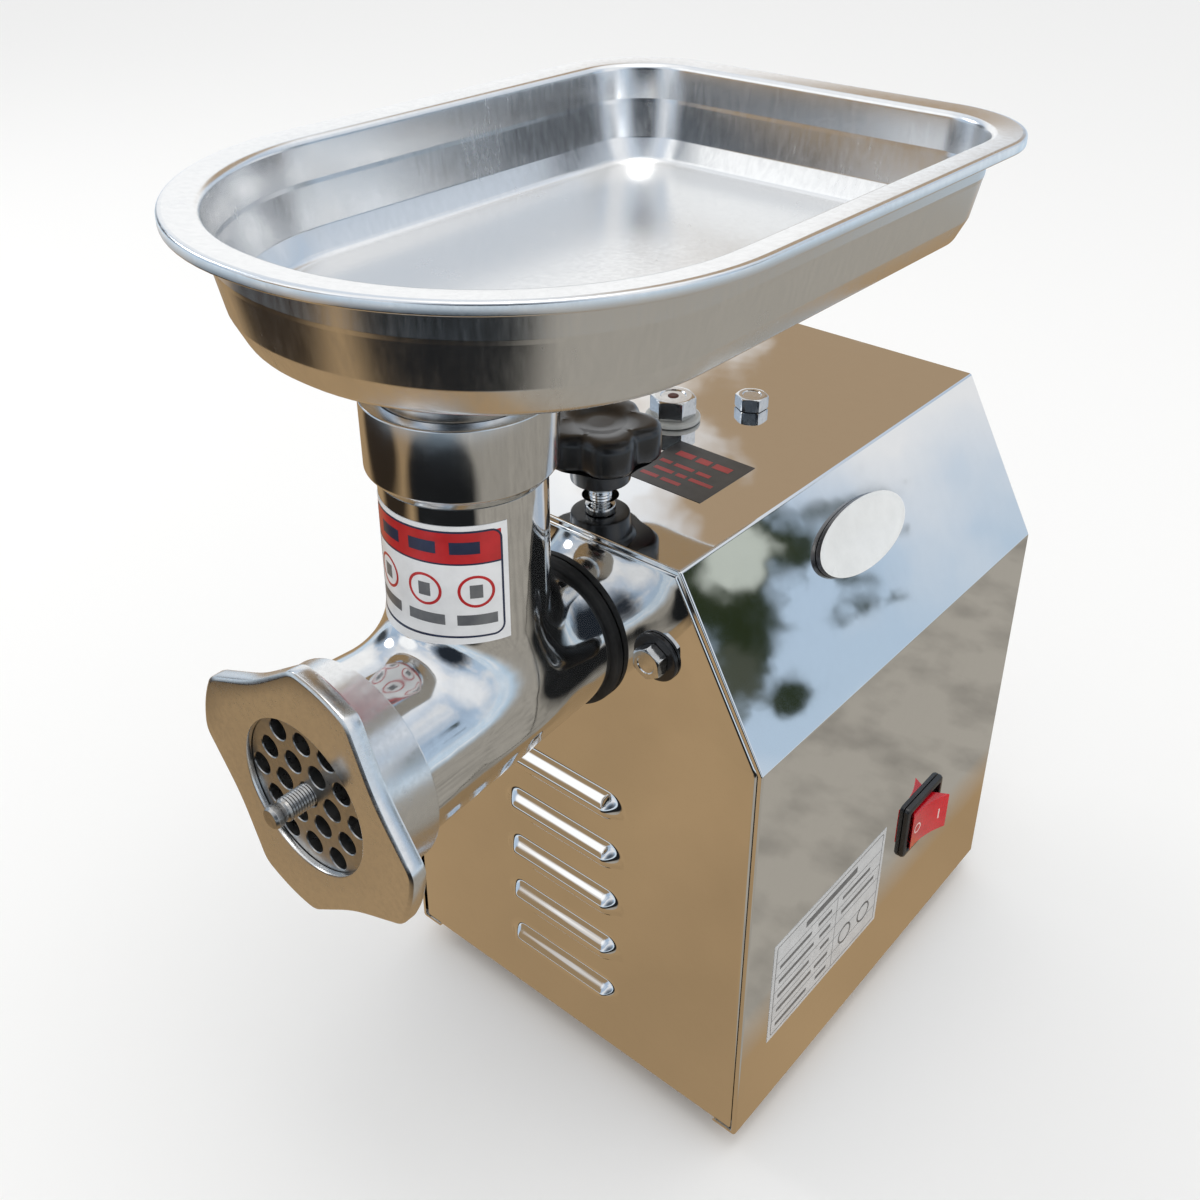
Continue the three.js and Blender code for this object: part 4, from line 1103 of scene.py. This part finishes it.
def lobeRadius(angle):
    # Four broad lobes; between them the edge dips in a shallow hollow.
    half = radians(ringNut["lobeHalf"])
    turn = (angle - radians(ringNut["firstLobe"]) + half) % (pi / 2)
    if turn < 2 * half:
        return ringNut["lobe"]
    t = (turn - 2 * half) / (pi / 2 - 2 * half)
    return ringNut["lobe"] - (ringNut["lobe"] - ringNut["hollow"]) * sin(pi * t) ** 0.8


def lobedRing(inset, y):
    # Corners between lobe and hollow are eased by averaging over a few degrees.
    ring = []
    for k in range(ringNut["steps"]):
        angle = 2 * pi * k / ringNut["steps"]
        near = [lobeRadius(angle + radians(d)) for d in (-2.4, -1.2, 0, 1.2, 2.4)]
        r = sum(near) / len(near) - inset
        ring.append((r * cos(angle), y, axisZ + r * sin(angle)))
    return ring


def makeRingNut():
    low, high = span("ring_nut")
    front, rear, back = low.y, high.y, low.y + ringNut["flange"]
    outer, inside, mouth = ringNut["collar"], ringNut["inside"], ringNut["mouth"]
    seat = front + 2.35

    def plain(radius, y):
        return circle("y", (0, axisZ), radius, y, ringNut["steps"])

    rings = [
        plain(inside, rear), plain(outer - 0.9, rear), plain(outer - 0.2, rear - 0.3), plain(outer, rear - 1.0),
        plain(outer, back + 1.2), plain(outer + 0.35, back + 0.45), plain(outer + 1.2, back), lobedRing(1.3, back),
        lobedRing(0.35, back - 0.35), lobedRing(0, back - 1.3), lobedRing(0, front + 1.5),
        lobedRing(0.25, front + 0.75), lobedRing(1.5, front + 0.06), lobedRing(2.1, front),
        plain(mouth + 1.0, front), plain(mouth + 0.3, front + 0.3), plain(mouth, front + 1.0), plain(mouth, seat),
        plain(inside, seat),
    ]
    nut = loft("ringNutBody", rings, wrapRings=True, crisp=28)
    finishPiece(nut, "ring", "satin_steel", "ringSteel", "ring_nut")


plate = {"radius": 35, "pitch": 13.3, "hole": 4.6, "centreHole": 5.1, "chamfer": 0.35}


def holeSpots():
    spots = [(0.0, 0.0, plate["centreHole"])]
    for row in range(-2, 3):
        count = 5 - abs(row)
        for k in range(count):
            if row != 0 or k != 2:
                x = plate["pitch"] * (k - (count - 1) / 2)
                spots.append((x, plate["pitch"] * row * sqrt(3) / 2, plate["hole"]))
    return spots


def filledFace(bm, loops):
    # A flat face with holes, from closed loops of vertices.
    edges = []
    for loop in loops:
        for k, vertex in enumerate(loop):
            pair = (vertex, loop[(k + 1) % len(loop)])
            edges.append(bm.edges.get(pair) or bm.edges.new(pair))
    bmesh.ops.triangle_fill(bm, edges=edges, use_beauty=True, use_dissolve=False)


def meshOf(name, bm, crisp=32):
    bmesh.ops.recalc_face_normals(bm, faces=bm.faces)
    mesh = bpy.data.meshes.new(name)
    bm.to_mesh(mesh)
    bm.free()
    piece = bpy.data.objects.new(name, mesh)
    bpy.context.scene.collection.objects.link(piece)
    smoothShade(piece, crisp)
    return piece


def addRings(bm, rings):
    # Joins the rings into a band, and gives back the first and the last of them.
    made = [[bm.verts.new(toFrame(p)) for p in ring] for ring in rings]
    for low, high in zip(made, made[1:]):
        for k in range(len(low)):
            n = (k + 1) % len(low)
            bm.faces.new((low[k], low[n], high[n], high[k]))
    return made[0], made[-1]


def makeCuttingPlate():
    low, high = span("cutting_plate")
    bm = bmesh.new()
    c = plate["chamfer"]
    rim = [(plate["radius"] - 0.6, low.y), (plate["radius"], low.y + 0.6), (plate["radius"], high.y - 0.4),
           (plate["radius"] - 0.4, high.y)]
    bands = [addRings(bm, [circle("y", (0, axisZ), r, y, 144) for r, y in rim])]
    for x, up, r in holeSpots():
        wall = [(r + c, low.y), (r, low.y + c), (r, high.y - c), (r + c, high.y)]
        bands.append(addRings(bm, [circle("y", (x, axisZ + up), radius, y, 40) for radius, y in wall]))
    for loops in zip(*bands):                             # the front face, then the back
        filledFace(bm, loops)
    disc = meshOf("cuttingPlate", bm)
    finishPiece(disc, "grinding_head", "satin_steel", "plateSteel", "cutting_plate")


auger = {
    "rear": -139.5, "front": -238.0, "pitch": 30.0, "edges": (25.9, 30.2), "root": 8.5, "stepsPerTurn": 56,
    "tang": 7.5, "knifeSquare": 6.2,
}


def augerFlight():
    turns = (auger["rear"] - auger["front"]) / auger["pitch"]
    steps = int(turns * auger["stepsPerTurn"])
    small, large = auger["edges"]
    rings = []
    for k in range(steps + 1):
        t = k / steps
        angle = 2 * pi * turns * t
        y = auger["rear"] + (auger["front"] - auger["rear"]) * t
        edge = small + (large - small) * t
        half = [(auger["root"], 4.6), (12, 2.9), (edge - 0.6, 1.6), (edge, 1.0)]
        section = half + [(r, -dy) for r, dy in reversed(half)]
        rings.append([(r * cos(angle), y + dy, axisZ + r * sin(angle)) for r, dy in section])
    return loft("augerFlight", rings)


def squareBar(name, half, front, rear):
    bar = block(name, (-half, front, axisZ - half), (half, rear, axisZ + half))
    bevelEdges(bar, 0.6, 2)
    return bar


def makeAuger():
    low, high = span("auger_stud")
    tip = low.y
    threads = [(4.7 - 0.35 * (k % 2), tip + 7 + 0.6 * k) for k in range(40)]
    stud = turned("augerStud", rounded([
        (0, tip), (3.7, tip, 0.5), (4.5, tip + 1.1, 0.3), (4.5, tip + 3.4, 0.3), (3.8, tip + 3.9, 0.2),
        (3.8, tip + 5.4, 0.2), (4.5, tip + 6),
    ]) + threads + [(4.7, high.y), (0, high.y)], "y", (0, axisZ), steps=64, crisp=28)
    finishPiece(stud, "auger_train", "gear_steel", "studSteel", "auger_stud")
    core = turned("augerCore", rounded([
        (5.05, -243.8), (13, -243.8, 0.6), (13, -238, 1), (9.5, -234, 2), (10.5, -140, 3), (12.2, -134.4, 1),
        (12.2, -112, 0.6), (5.05, -112),
    ], closed=True), "y", (0, axisZ), closed=True, steps=72)
    tang = squareBar("augerTang", auger["tang"], -113, -95.5)
    square = squareBar("augerSquare", auger["knifeSquare"], -251.6, -243)
    screw = joinPieces("augerScrew", [core, augerFlight(), tang, square])
    finishPiece(screw, "auger_train", "cast_steel", "castPolish", "auger")


# Tray: a rounded pan with a rolled rim, a faint step round its wall and a spout that drops in the collar.
tray = {
    "frontCorner": 112, "rearCorner": 48, "wall": 1.2, "floor": 413.5, "step": 17, "arc": 24,
    "spout": 28.4, "spoutOut": 30.0, "spoutEnd": 368,
}


def trayRing(inset, z):
    low, high = span("tray")
    half = high.x
    ring = []
    for side, endY, corner, start, inward in (
        (1, high.y, tray["rearCorner"], 0, -1), (-1, high.y, tray["rearCorner"], 90, -1),
        (-1, low.y, tray["frontCorner"], 180, 1), (1, low.y, tray["frontCorner"], 270, 1),
    ):
        for k in range(tray["arc"] + 1):
            angle = radians(start + 90 * k / tray["arc"])
            r = corner - inset
            ring.append((side * (half - corner) + r * cos(angle), endY + inward * corner + r * sin(angle), z))
    return ring


def makeTray():
    rim = span("tray")[1].z
    floor, under = tray["floor"], tray["floor"] - tray["wall"]
    step = rim - tray["step"]
    path = rounded([
        (30.5, floor), (24.3, floor, 5.5), (19.1, floor + 11, 4), (15.8, step - 1.6, 1.2), (15.3, step + 0.2, 1.2),
        (14.0, rim - 1.0, 3.2), (2.0, rim - 0.05, 1.0), (0.0, rim - 0.3, 1.2), (0.0, rim - 4.6, 1.2),
        (1.5, rim - 4.6, 0.5), (1.6, rim - 1.5, 0.8), (12.9, rim - 2.4, 2.2), (14.1, step - 0.2, 1.2),
        (14.6, step - 2.0, 1.2), (17.9, floor + 10.6, 4), (23.6, under, 6.5), (30.5, under),
    ], steps=6)                                           # inset and height, from the floor over the rim and back
    bm = bmesh.new()
    top, bottom = addRings(bm, [trayRing(inset, z) for inset, z in path])
    bore, outer, end = tray["spout"], tray["spoutOut"], tray["spoutEnd"]
    spout = rounded([
        (bore + 4.5, floor), (bore, floor, 2.5), (bore, end, 0.3), (outer, end, 0.3), (outer, under, 2.0),
        (outer + 5, under),
    ])
    holeTop, holeBottom = addRings(bm, [circle("z", (0, neckY), r, z, 120) for r, z in spout])
    filledFace(bm, [top, holeTop])
    filledFace(bm, [bottom, holeBottom])
    pan = meshOf("trayPan", bm, 28)
    finishPiece(pan, "tray", "satin_steel", "traySteel", "tray")


knob = {"lobes": 5, "firstLobe": 35, "mean": 23.4, "swell": 2.6, "sharpen": 0.5}


def knobRing(lobed, offset, z, steps=200):
    # lobed runs from 0, a circle of radius offset, to 1, the lobed edge moved out by offset.
    centre = middle("knob_stud")
    ring = []
    for k in range(steps):
        angle = 2 * pi * k / steps
        phase = knob["lobes"] * (angle - radians(knob["firstLobe"]))
        wavy = knob["mean"] + knob["swell"] * cos(phase) - knob["sharpen"] * cos(2 * phase)
        r = lobed * (wavy + offset) + (1 - lobed) * offset
        ring.append((centre.x + r * cos(angle), centre.y + r * sin(angle), z))
    return ring


def makeKnob():
    low, high = span("knob")
    base, top = low.z, high.z
    rings = [knobRing(0, r, z) for r, z in rounded([
        (5.3, base + 12), (5.3, base + 0.3), (6.0, base, 0.3), (12.8, base, 0.8), (13.6, base + 9.5, 3),
        (15.5, base + 11.2),
    ])]
    underside = (
        (0.45, 11.6, 11.5), (0.8, -2.2, 11.7), (1, -2.4, 11.9), (1, -0.9, 12.4), (1, -0.2, 13.4), (1, 0, 15),
    )
    rings += [knobRing(lobed, offset, base + up) for lobed, offset, up in underside]
    crown = (
        (1, 0, 4.2), (1, -0.35, 2.5), (1, -1.2, 1.2), (1, -2.4, 0.45), (1, -3.8, 0.1), (1, -5.6, 0), (0.5, 4.6, 0.1),
        (0, 11.5, 0.25), (0, 10.6, 0.9), (0, 5, 1.0), (0, 0.001, 1.0),
    )
    rings += [knobRing(lobed, offset, top - down) for lobed, offset, down in crown]
    grip = loft("knobGrip", rings, caps=False, crisp=38)
    finishPiece(grip, "locking_knob", "black_plastic", "blackGloss", "knob")
    low, high = span("knob_stud")
    place = middle("knob_stud").xy
    threads = [(5.0 - 0.45 * (k % 2), coverTop - 9.4 + 0.7 * k) for k in range(18)]
    stud = turned("knobStud", [
        (0, low.z), (4.2, low.z), (5, low.z + 1), *threads, (4.4, base - 4.4), *rounded([
            (4.4, base - 4.3), (6.6, base - 3.8, 0.5), (6.6, base - 0.4, 0.5), (5.0, base + 0.1)]),
        (5.0, high.z), (0, high.z),
    ], "z", place, steps=72, crisp=28)
    finishPiece(stud, "locking_knob", "gear_steel", "boltSteel", "knob_stud")


makeCasting()
makeCollar()
makeRingNut()
makeCuttingPlate()
makeAuger()
makeTray()
makeKnob()
print("head, tray and knob made")


# Labels: plain blocks and outlines, with no wording.
printed = (0.1, 0.2)                                      # how far ink stands off a flat label's sheet


def makeLabel(name, body, slot, parts):
    # Each part is a finish's name and the points and faces of one thin solid.
    used = list(dict.fromkeys(finish for finish, shape in parts))
    bm = bmesh.new()
    for finish, (points, faces) in parts:
        piece = meshPiece(name + "Part", points, faces)
        before = len(bm.faces)
        bm.from_mesh(piece.data)
        bm.faces.ensure_lookup_table()
        for face in bm.faces[before:]:
            face.material_index = used.index(finish)
        bpy.data.objects.remove(piece)
    label = meshOf(name, bm)
    for finish in used:
        label.data.materials.append(finishes[finish])
    finishPiece(label, body, slot, None)


def makeTopLabel():
    place = lambda u, v, h: (u, v, coverTop + h)
    parts = [("labelBlack", slab(place, -4, 37, -75, -34, 0.02, 0.16))]
    words = (                                             # middle of the row, its height, and each bar's ends
        (-44, 4.4, ((2, 11), (13, 20), (22, 31))), (-54, 2.6, ((0, 6), (8, 18), (20, 27))),
        (-61, 2.6, ((2, 12), (14, 19), (21, 33))), (-68, 2.6, ((0, 9), (11, 21))),
    )
    for v, tall, bars in words:
        for u0, u1 in bars:
            parts.append(("inkRed", slab(place, u0, u1, v - tall / 2, v + tall / 2, *printed)))
    makeLabel("topLabel", "casing", "black_plastic", parts)


def makeSideLabel():
    place = lambda u, v, h: (coverHigh.x + h, u, v)
    parts = [("labelSilver", slab(place, -101, -1, 57, 120, 0.02, 0.16))]

    def ink(shape):
        parts.append(("inkGrey", shape))

    def bar(u0, u1, v, half):
        ink(slab(place, u0, u1, v - half, v + half, *printed, 20))

    ink(slabPath(place, roundedPath(-98.5, -3.5, 59.5, 117.5, 1.2), 0.22, *printed))
    for row in range(5):
        bar(-98.3, -3.7, 107 - 9.5 * row, 0.15)
    ink(slab(place, -45.2, -44.9, 59.7, 107, *printed, 20))
    bar(-74, -28, 112.3, 1.9)
    for row in range(5):
        v = 102.2 - 9.5 * row
        bar(-95, -68 + 3 * (row % 2), v, 1.1)
        bar(-62 + 2 * (row % 3), -50, v, 1.1)
    for row in range(2):
        bar(-40, -14 + 5 * row, 102.2 - 9.5 * row, 1.1)
    for u in (-34, -16):
        ink(slabRing(place, (u, 74), 5.4, 0.55, *printed))
    makeLabel("sideLabel", "casing", "white_plastic", parts)


def makeNeckLabel():
    facing = radians(-74)

    def place(u, v, h):
        angle = facing + u / casting["neckRadius"]
        radius = neckSurface(angle, v) + h
        return (radius * cos(angle), neckY + radius * sin(angle), v)

    low, high = 300.5, 350.5
    band = high - 15.5
    parts = [("labelWhite", slab(place, -32, 32, low, high, 0.03, 0.18))]
    parts.append(("inkRed", slab(place, -29.5, 29.5, band, high - 2.6, 0.1, 0.22)))
    parts.append(("inkBlue", slabPath(place, roundedPath(-29.5, 29.5, low + 3, high - 2.4, 4), 0.4, 0.12, 0.26)))
    parts.append(("inkBlue", slab(place, -29.3, 29.3, band - 0.6, band + 0.1, 0.12, 0.25)))
    for u in (-19.5, 0, 19.5):
        parts.append(("inkRed", slabRing(place, (u, low + 22.5), 6.3, 0.55, 0.12, 0.24)))
        parts.append(("inkGrey", slab(place, u - 2.4, u + 2.4, low + 19.7, low + 25.3, 0.12, 0.24)))
        parts.append(("inkGrey", slab(place, u - 7.5, u + 7.5, low + 8, low + 12.5, 0.12, 0.24)))
    for u in (-16, 0, 16):
        parts.append(("inkBlue", slab(place, u - 5.5, u + 5.5, band + 4, band + 9, 0.2, 0.27)))
    makeLabel("neckLabel", "grinding_head", "white_plastic", parts)


makeTopLabel()
makeSideLabel()
makeNeckLabel()
print("labels made")

# Pieces kept from the frame: everything shut inside, and the flat base.
slotFinish = {
    "mirror_steel": "polishedSheet", "satin_steel": "plateSteel", "cast_steel": "castPolish",
    "cast_alloy": "castAlloy", "gear_steel": "gearSteel", "lamination": "coreSteel", "copper": "windingCopper",
    "black_plastic": "blackGloss", "black_rubber": "blackRubber", "red_plastic": "rockerRed",
    "white_plastic": "badgeWhite", "grey_plastic": "greyPlastic",
}
for row in frame["record"]["subparts"]:
    node = frame["nodes"][row["node"]]
    node.data.materials.clear()
    node.data.materials.append(finishes[slotFinish[row["material_slot"]]])

# Surroundings: a pale floor, a soft dome and large lights. Only what shines shows the dome's colours, and to it the
# floor glows with painted reflections of ground, shade and sky.
surroundings = {
    "floorSize": 12.0, "floorPale": (0.90, 0.895, 0.885), "backdrop": (0.93, 0.93, 0.93),
    "groundTan": (0.43, 0.295, 0.16), "groundGrey": (0.41, 0.385, 0.34), "groundFar": (0.56, 0.73, 0.90),
    "groundMist": (0.92, 0.95, 0.98), "deeperTan": 0.84, "darkerGrey": 0.66,
    "greyStart": (0.130, 0.146), "farStart": (1.05, 1.7),
    "shades": [                                           # where, inner and outer reach in metres, colour: spots of painted shadow in the floor's reflected glow
        ((0.28, -0.84), 0.46, 0.56, (0.014, 0.015, 0.016)), ((-0.80, -0.62), 0.38, 0.52, (0.035, 0.025, 0.017)),
    ],
}


def makeFloor():
    size = surroundings["floorSize"]
    mesh = bpy.data.meshes.new("floor")
    corners = [(-size, -size, 0), (size, -size, 0), (size, size, 0), (-size, size, 0)]
    mesh.from_pydata(corners, [], [(0, 1, 2, 3)])
    floor = bpy.data.objects.new("floor", mesh)
    bpy.context.scene.collection.objects.link(floor)
    material, tree, shader = newMaterial("paleFloor", Roughness=0.9, Specular_IOR_Level=0.1)
    shader.inputs["Base Color"].default_value = (*surroundings["floorPale"], 1)
    place = tree.nodes.new("ShaderNodeTexCoord").outputs["Object"]
    parts = tree.nodes.new("ShaderNodeSeparateXYZ")
    tree.links.new(place, parts.inputs[0])

    def mottled(scale, detail, low, high, ground, share):
        mask = rangeNode(tree, noiseNode(tree, place, scale, detail), low, high)
        darker = tuple(surroundings[share] * c for c in surroundings[ground])
        return mixColours(tree, mask, surroundings[ground], darker)

    # Painted reflection colours, seen only in what shines: tan ground near the machine, grey ground to the right.
    tan = mottled(5, 3, 0.35, 0.65, "groundTan", "deeperTan")
    grey = mottled(22, 4, 0.46, 0.72, "groundGrey", "darkerGrey")
    colour = mixColours(tree, rangeNode(tree, parts.outputs["X"], *surroundings["greyStart"]), tan, grey)

    def awayFrom(spot):
        shift = tree.nodes.new("ShaderNodeVectorMath")
        shift.operation = "DISTANCE"
        shift.inputs[1].default_value = (*spot, 0)
        tree.links.new(place, shift.inputs[0])
        return shift.outputs["Value"]

    # Dark spots of painted shadow laid into the reflected floor colour.
    for spot, inner, outer, shade in surroundings["shades"]:
        colour = mixColours(tree, rangeNode(tree, awayFrom(spot), inner, outer, 1, 0), colour, shade)
    # Further out the reflected floor turns to a painted sky blue and mist.
    mist = rangeNode(tree, noiseNode(tree, place, 1.4, 4), 0.45, 0.62)
    far = mixColours(tree, mist, surroundings["groundFar"], surroundings["groundMist"])
    colour = mixColours(tree, rangeNode(tree, awayFrom((0, 0)), *surroundings["farStart"]), colour, far)
    # Glossy rays see the floor as a glow of these colours, a painted reflection; all other rays see the pale floor.
    paintedReflection = tree.nodes.new("ShaderNodeEmission")
    tree.links.new(colour, paintedReflection.inputs["Color"])
    path = tree.nodes.new("ShaderNodeLightPath")
    mix = tree.nodes.new("ShaderNodeMixShader")
    tree.links.new(path.outputs["Is Glossy Ray"], mix.inputs["Fac"])
    tree.links.new(shader.outputs[0], mix.inputs[1])
    tree.links.new(paintedReflection.outputs[0], mix.inputs[2])
    tree.links.new(mix.outputs[0], tree.nodes["Material Output"].inputs["Surface"])
    mesh.materials.append(material)


def rampNode(tree, value, stops):
    node = tree.nodes.new("ShaderNodeValToRGB")
    ramp = node.color_ramp
    while len(ramp.elements) < len(stops):
        ramp.elements.new(0.5)
    for element, (place, colour) in zip(ramp.elements, stops):
        element.position = place
        element.color = (*colour, 1)
    tree.links.new(value, node.inputs["Fac"])
    return node.outputs["Color"]


domePatches = [
    # name, direction round from +X, height in degrees, inner and outer reach, raggedness, colour
    ("overhead", 60, 82, 24, 44, 0.1, (1.10, 1.11, 1.13)),
    ("brightGap", 136, 13, 14, 26, 0.1, (1.10, 1.11, 1.12)),
    ("brownWall", 109, 31, 14, 18, 0.3, (0.42, 0.31, 0.20)),
    ("brightFront", 236, 38, 15, 22, 0.1, (1.20, 1.22, 1.24)),
    ("tanLow", 240, 7, 13, 17, 0.2, (0.33, 0.235, 0.135)),
    ("greenery", 45, 9, 4.6, 7.0, 1.6, (0.022, 0.032, 0.014)),
    ("greenGap", 46, 7, 0.8, 1.8, 2.2, (0.55, 0.60, 0.55)),
    ("greenLow", 41, 3.5, 0.9, 2.2, 1.6, (0.07, 0.08, 0.06)),
    ("darkNear", 310, 14, 14, 30, 0.1, (0.02, 0.026, 0.036)),
    ("rightSky", 5, 28, 10, 24, 0.1, (0.95, 0.98, 1.02)),
    ("darkLeft", 176, 8, 7, 16, 0.1, (0.06, 0.07, 0.08)),
]


def makeDome():
    world = bpy.data.worlds.new("dome")
    bpy.context.scene.world = world
    world.use_nodes = True
    tree = world.node_tree
    shade = tree.nodes["Background"]
    way = tree.nodes.new("ShaderNodeTexCoord").outputs["Generated"]
    parts = tree.nodes.new("ShaderNodeSeparateXYZ")
    tree.links.new(way, parts.inputs[0])
    height = parts.outputs["Z"]
    sky = rampNode(tree, height, [
        (0.0, (0.50, 0.64, 0.80)), (0.12, (0.50, 0.64, 0.82)), (0.32, (0.42, 0.54, 0.70)),
        (0.6, (0.62, 0.72, 0.86)), (1.0, (0.95, 0.97, 1.0)),
    ])
    cloud = rangeNode(tree, noiseNode(tree, way, 3.6, 4), 0.46, 0.64)
    colour = mixColours(tree, cloud, sky, (0.88, 0.90, 0.93))
    rough = noiseNode(tree, way, 20, 5)
    for name, turn, rise, inner, outer, ragged, patch in domePatches:
        across, up = radians(turn), radians(rise)
        aim = (cos(across) * cos(up), sin(across) * cos(up), sin(up))
        dot = tree.nodes.new("ShaderNodeVectorMath")
        dot.operation = "DOT_PRODUCT"
        dot.label = name
        dot.inputs[1].default_value = aim
        tree.links.new(way, dot.inputs[0])
        amount = ragged * (1 - cos(radians(outer))) * 4
        wobble = mathNode(tree, "MULTIPLY", mathNode(tree, "SUBTRACT", rough, 0.5), amount)
        near = mathNode(tree, "ADD", dot.outputs["Value"], wobble)
        mask = rangeNode(tree, near, cos(radians(outer)), cos(radians(inner)))
        colour = mixColours(tree, mask, colour, patch)
    path = tree.nodes.new("ShaderNodeLightPath")
    soft = mixColours(tree, path.outputs["Is Diffuse Ray"], colour, (0.95, 0.955, 0.96))
    seen = mixColours(tree, path.outputs["Is Camera Ray"], soft, surroundings["backdrop"])
    tree.links.new(seen, shade.inputs["Color"])
    shade.inputs["Strength"].default_value = 1.0


lights = [
    # name, place, aimed at, size, watts, colour
    ("keySoft", (0.30, -0.10, 2.6), (0, 0, 0.2), 1.2, 9, (1.0, 0.99, 0.97)),
    ("leftSoft", (-1.9, -0.3, 1.5), (0, 0, 0.3), 0.8, 5, (1.0, 1.0, 1.0)),
]


def makeLights():
    for name, place, aim, size, watts, colour in lights:
        data = bpy.data.lights.new(name, "AREA")
        data.shape = "DISK"
        data.size = size
        data.energy = watts
        data.color = colour
        lamp = bpy.data.objects.new(name, data)
        lamp.location = place
        lamp.rotation_mode = "QUATERNION"
        lamp.rotation_quaternion = (Vector(aim) - Vector(place)).to_track_quat("-Z", "Y")
        bpy.context.scene.collection.objects.link(lamp)


makeFloor()
makeDome()
makeLights()
bpy.context.scene.view_settings.view_transform = "Standard"
print("surroundings made")
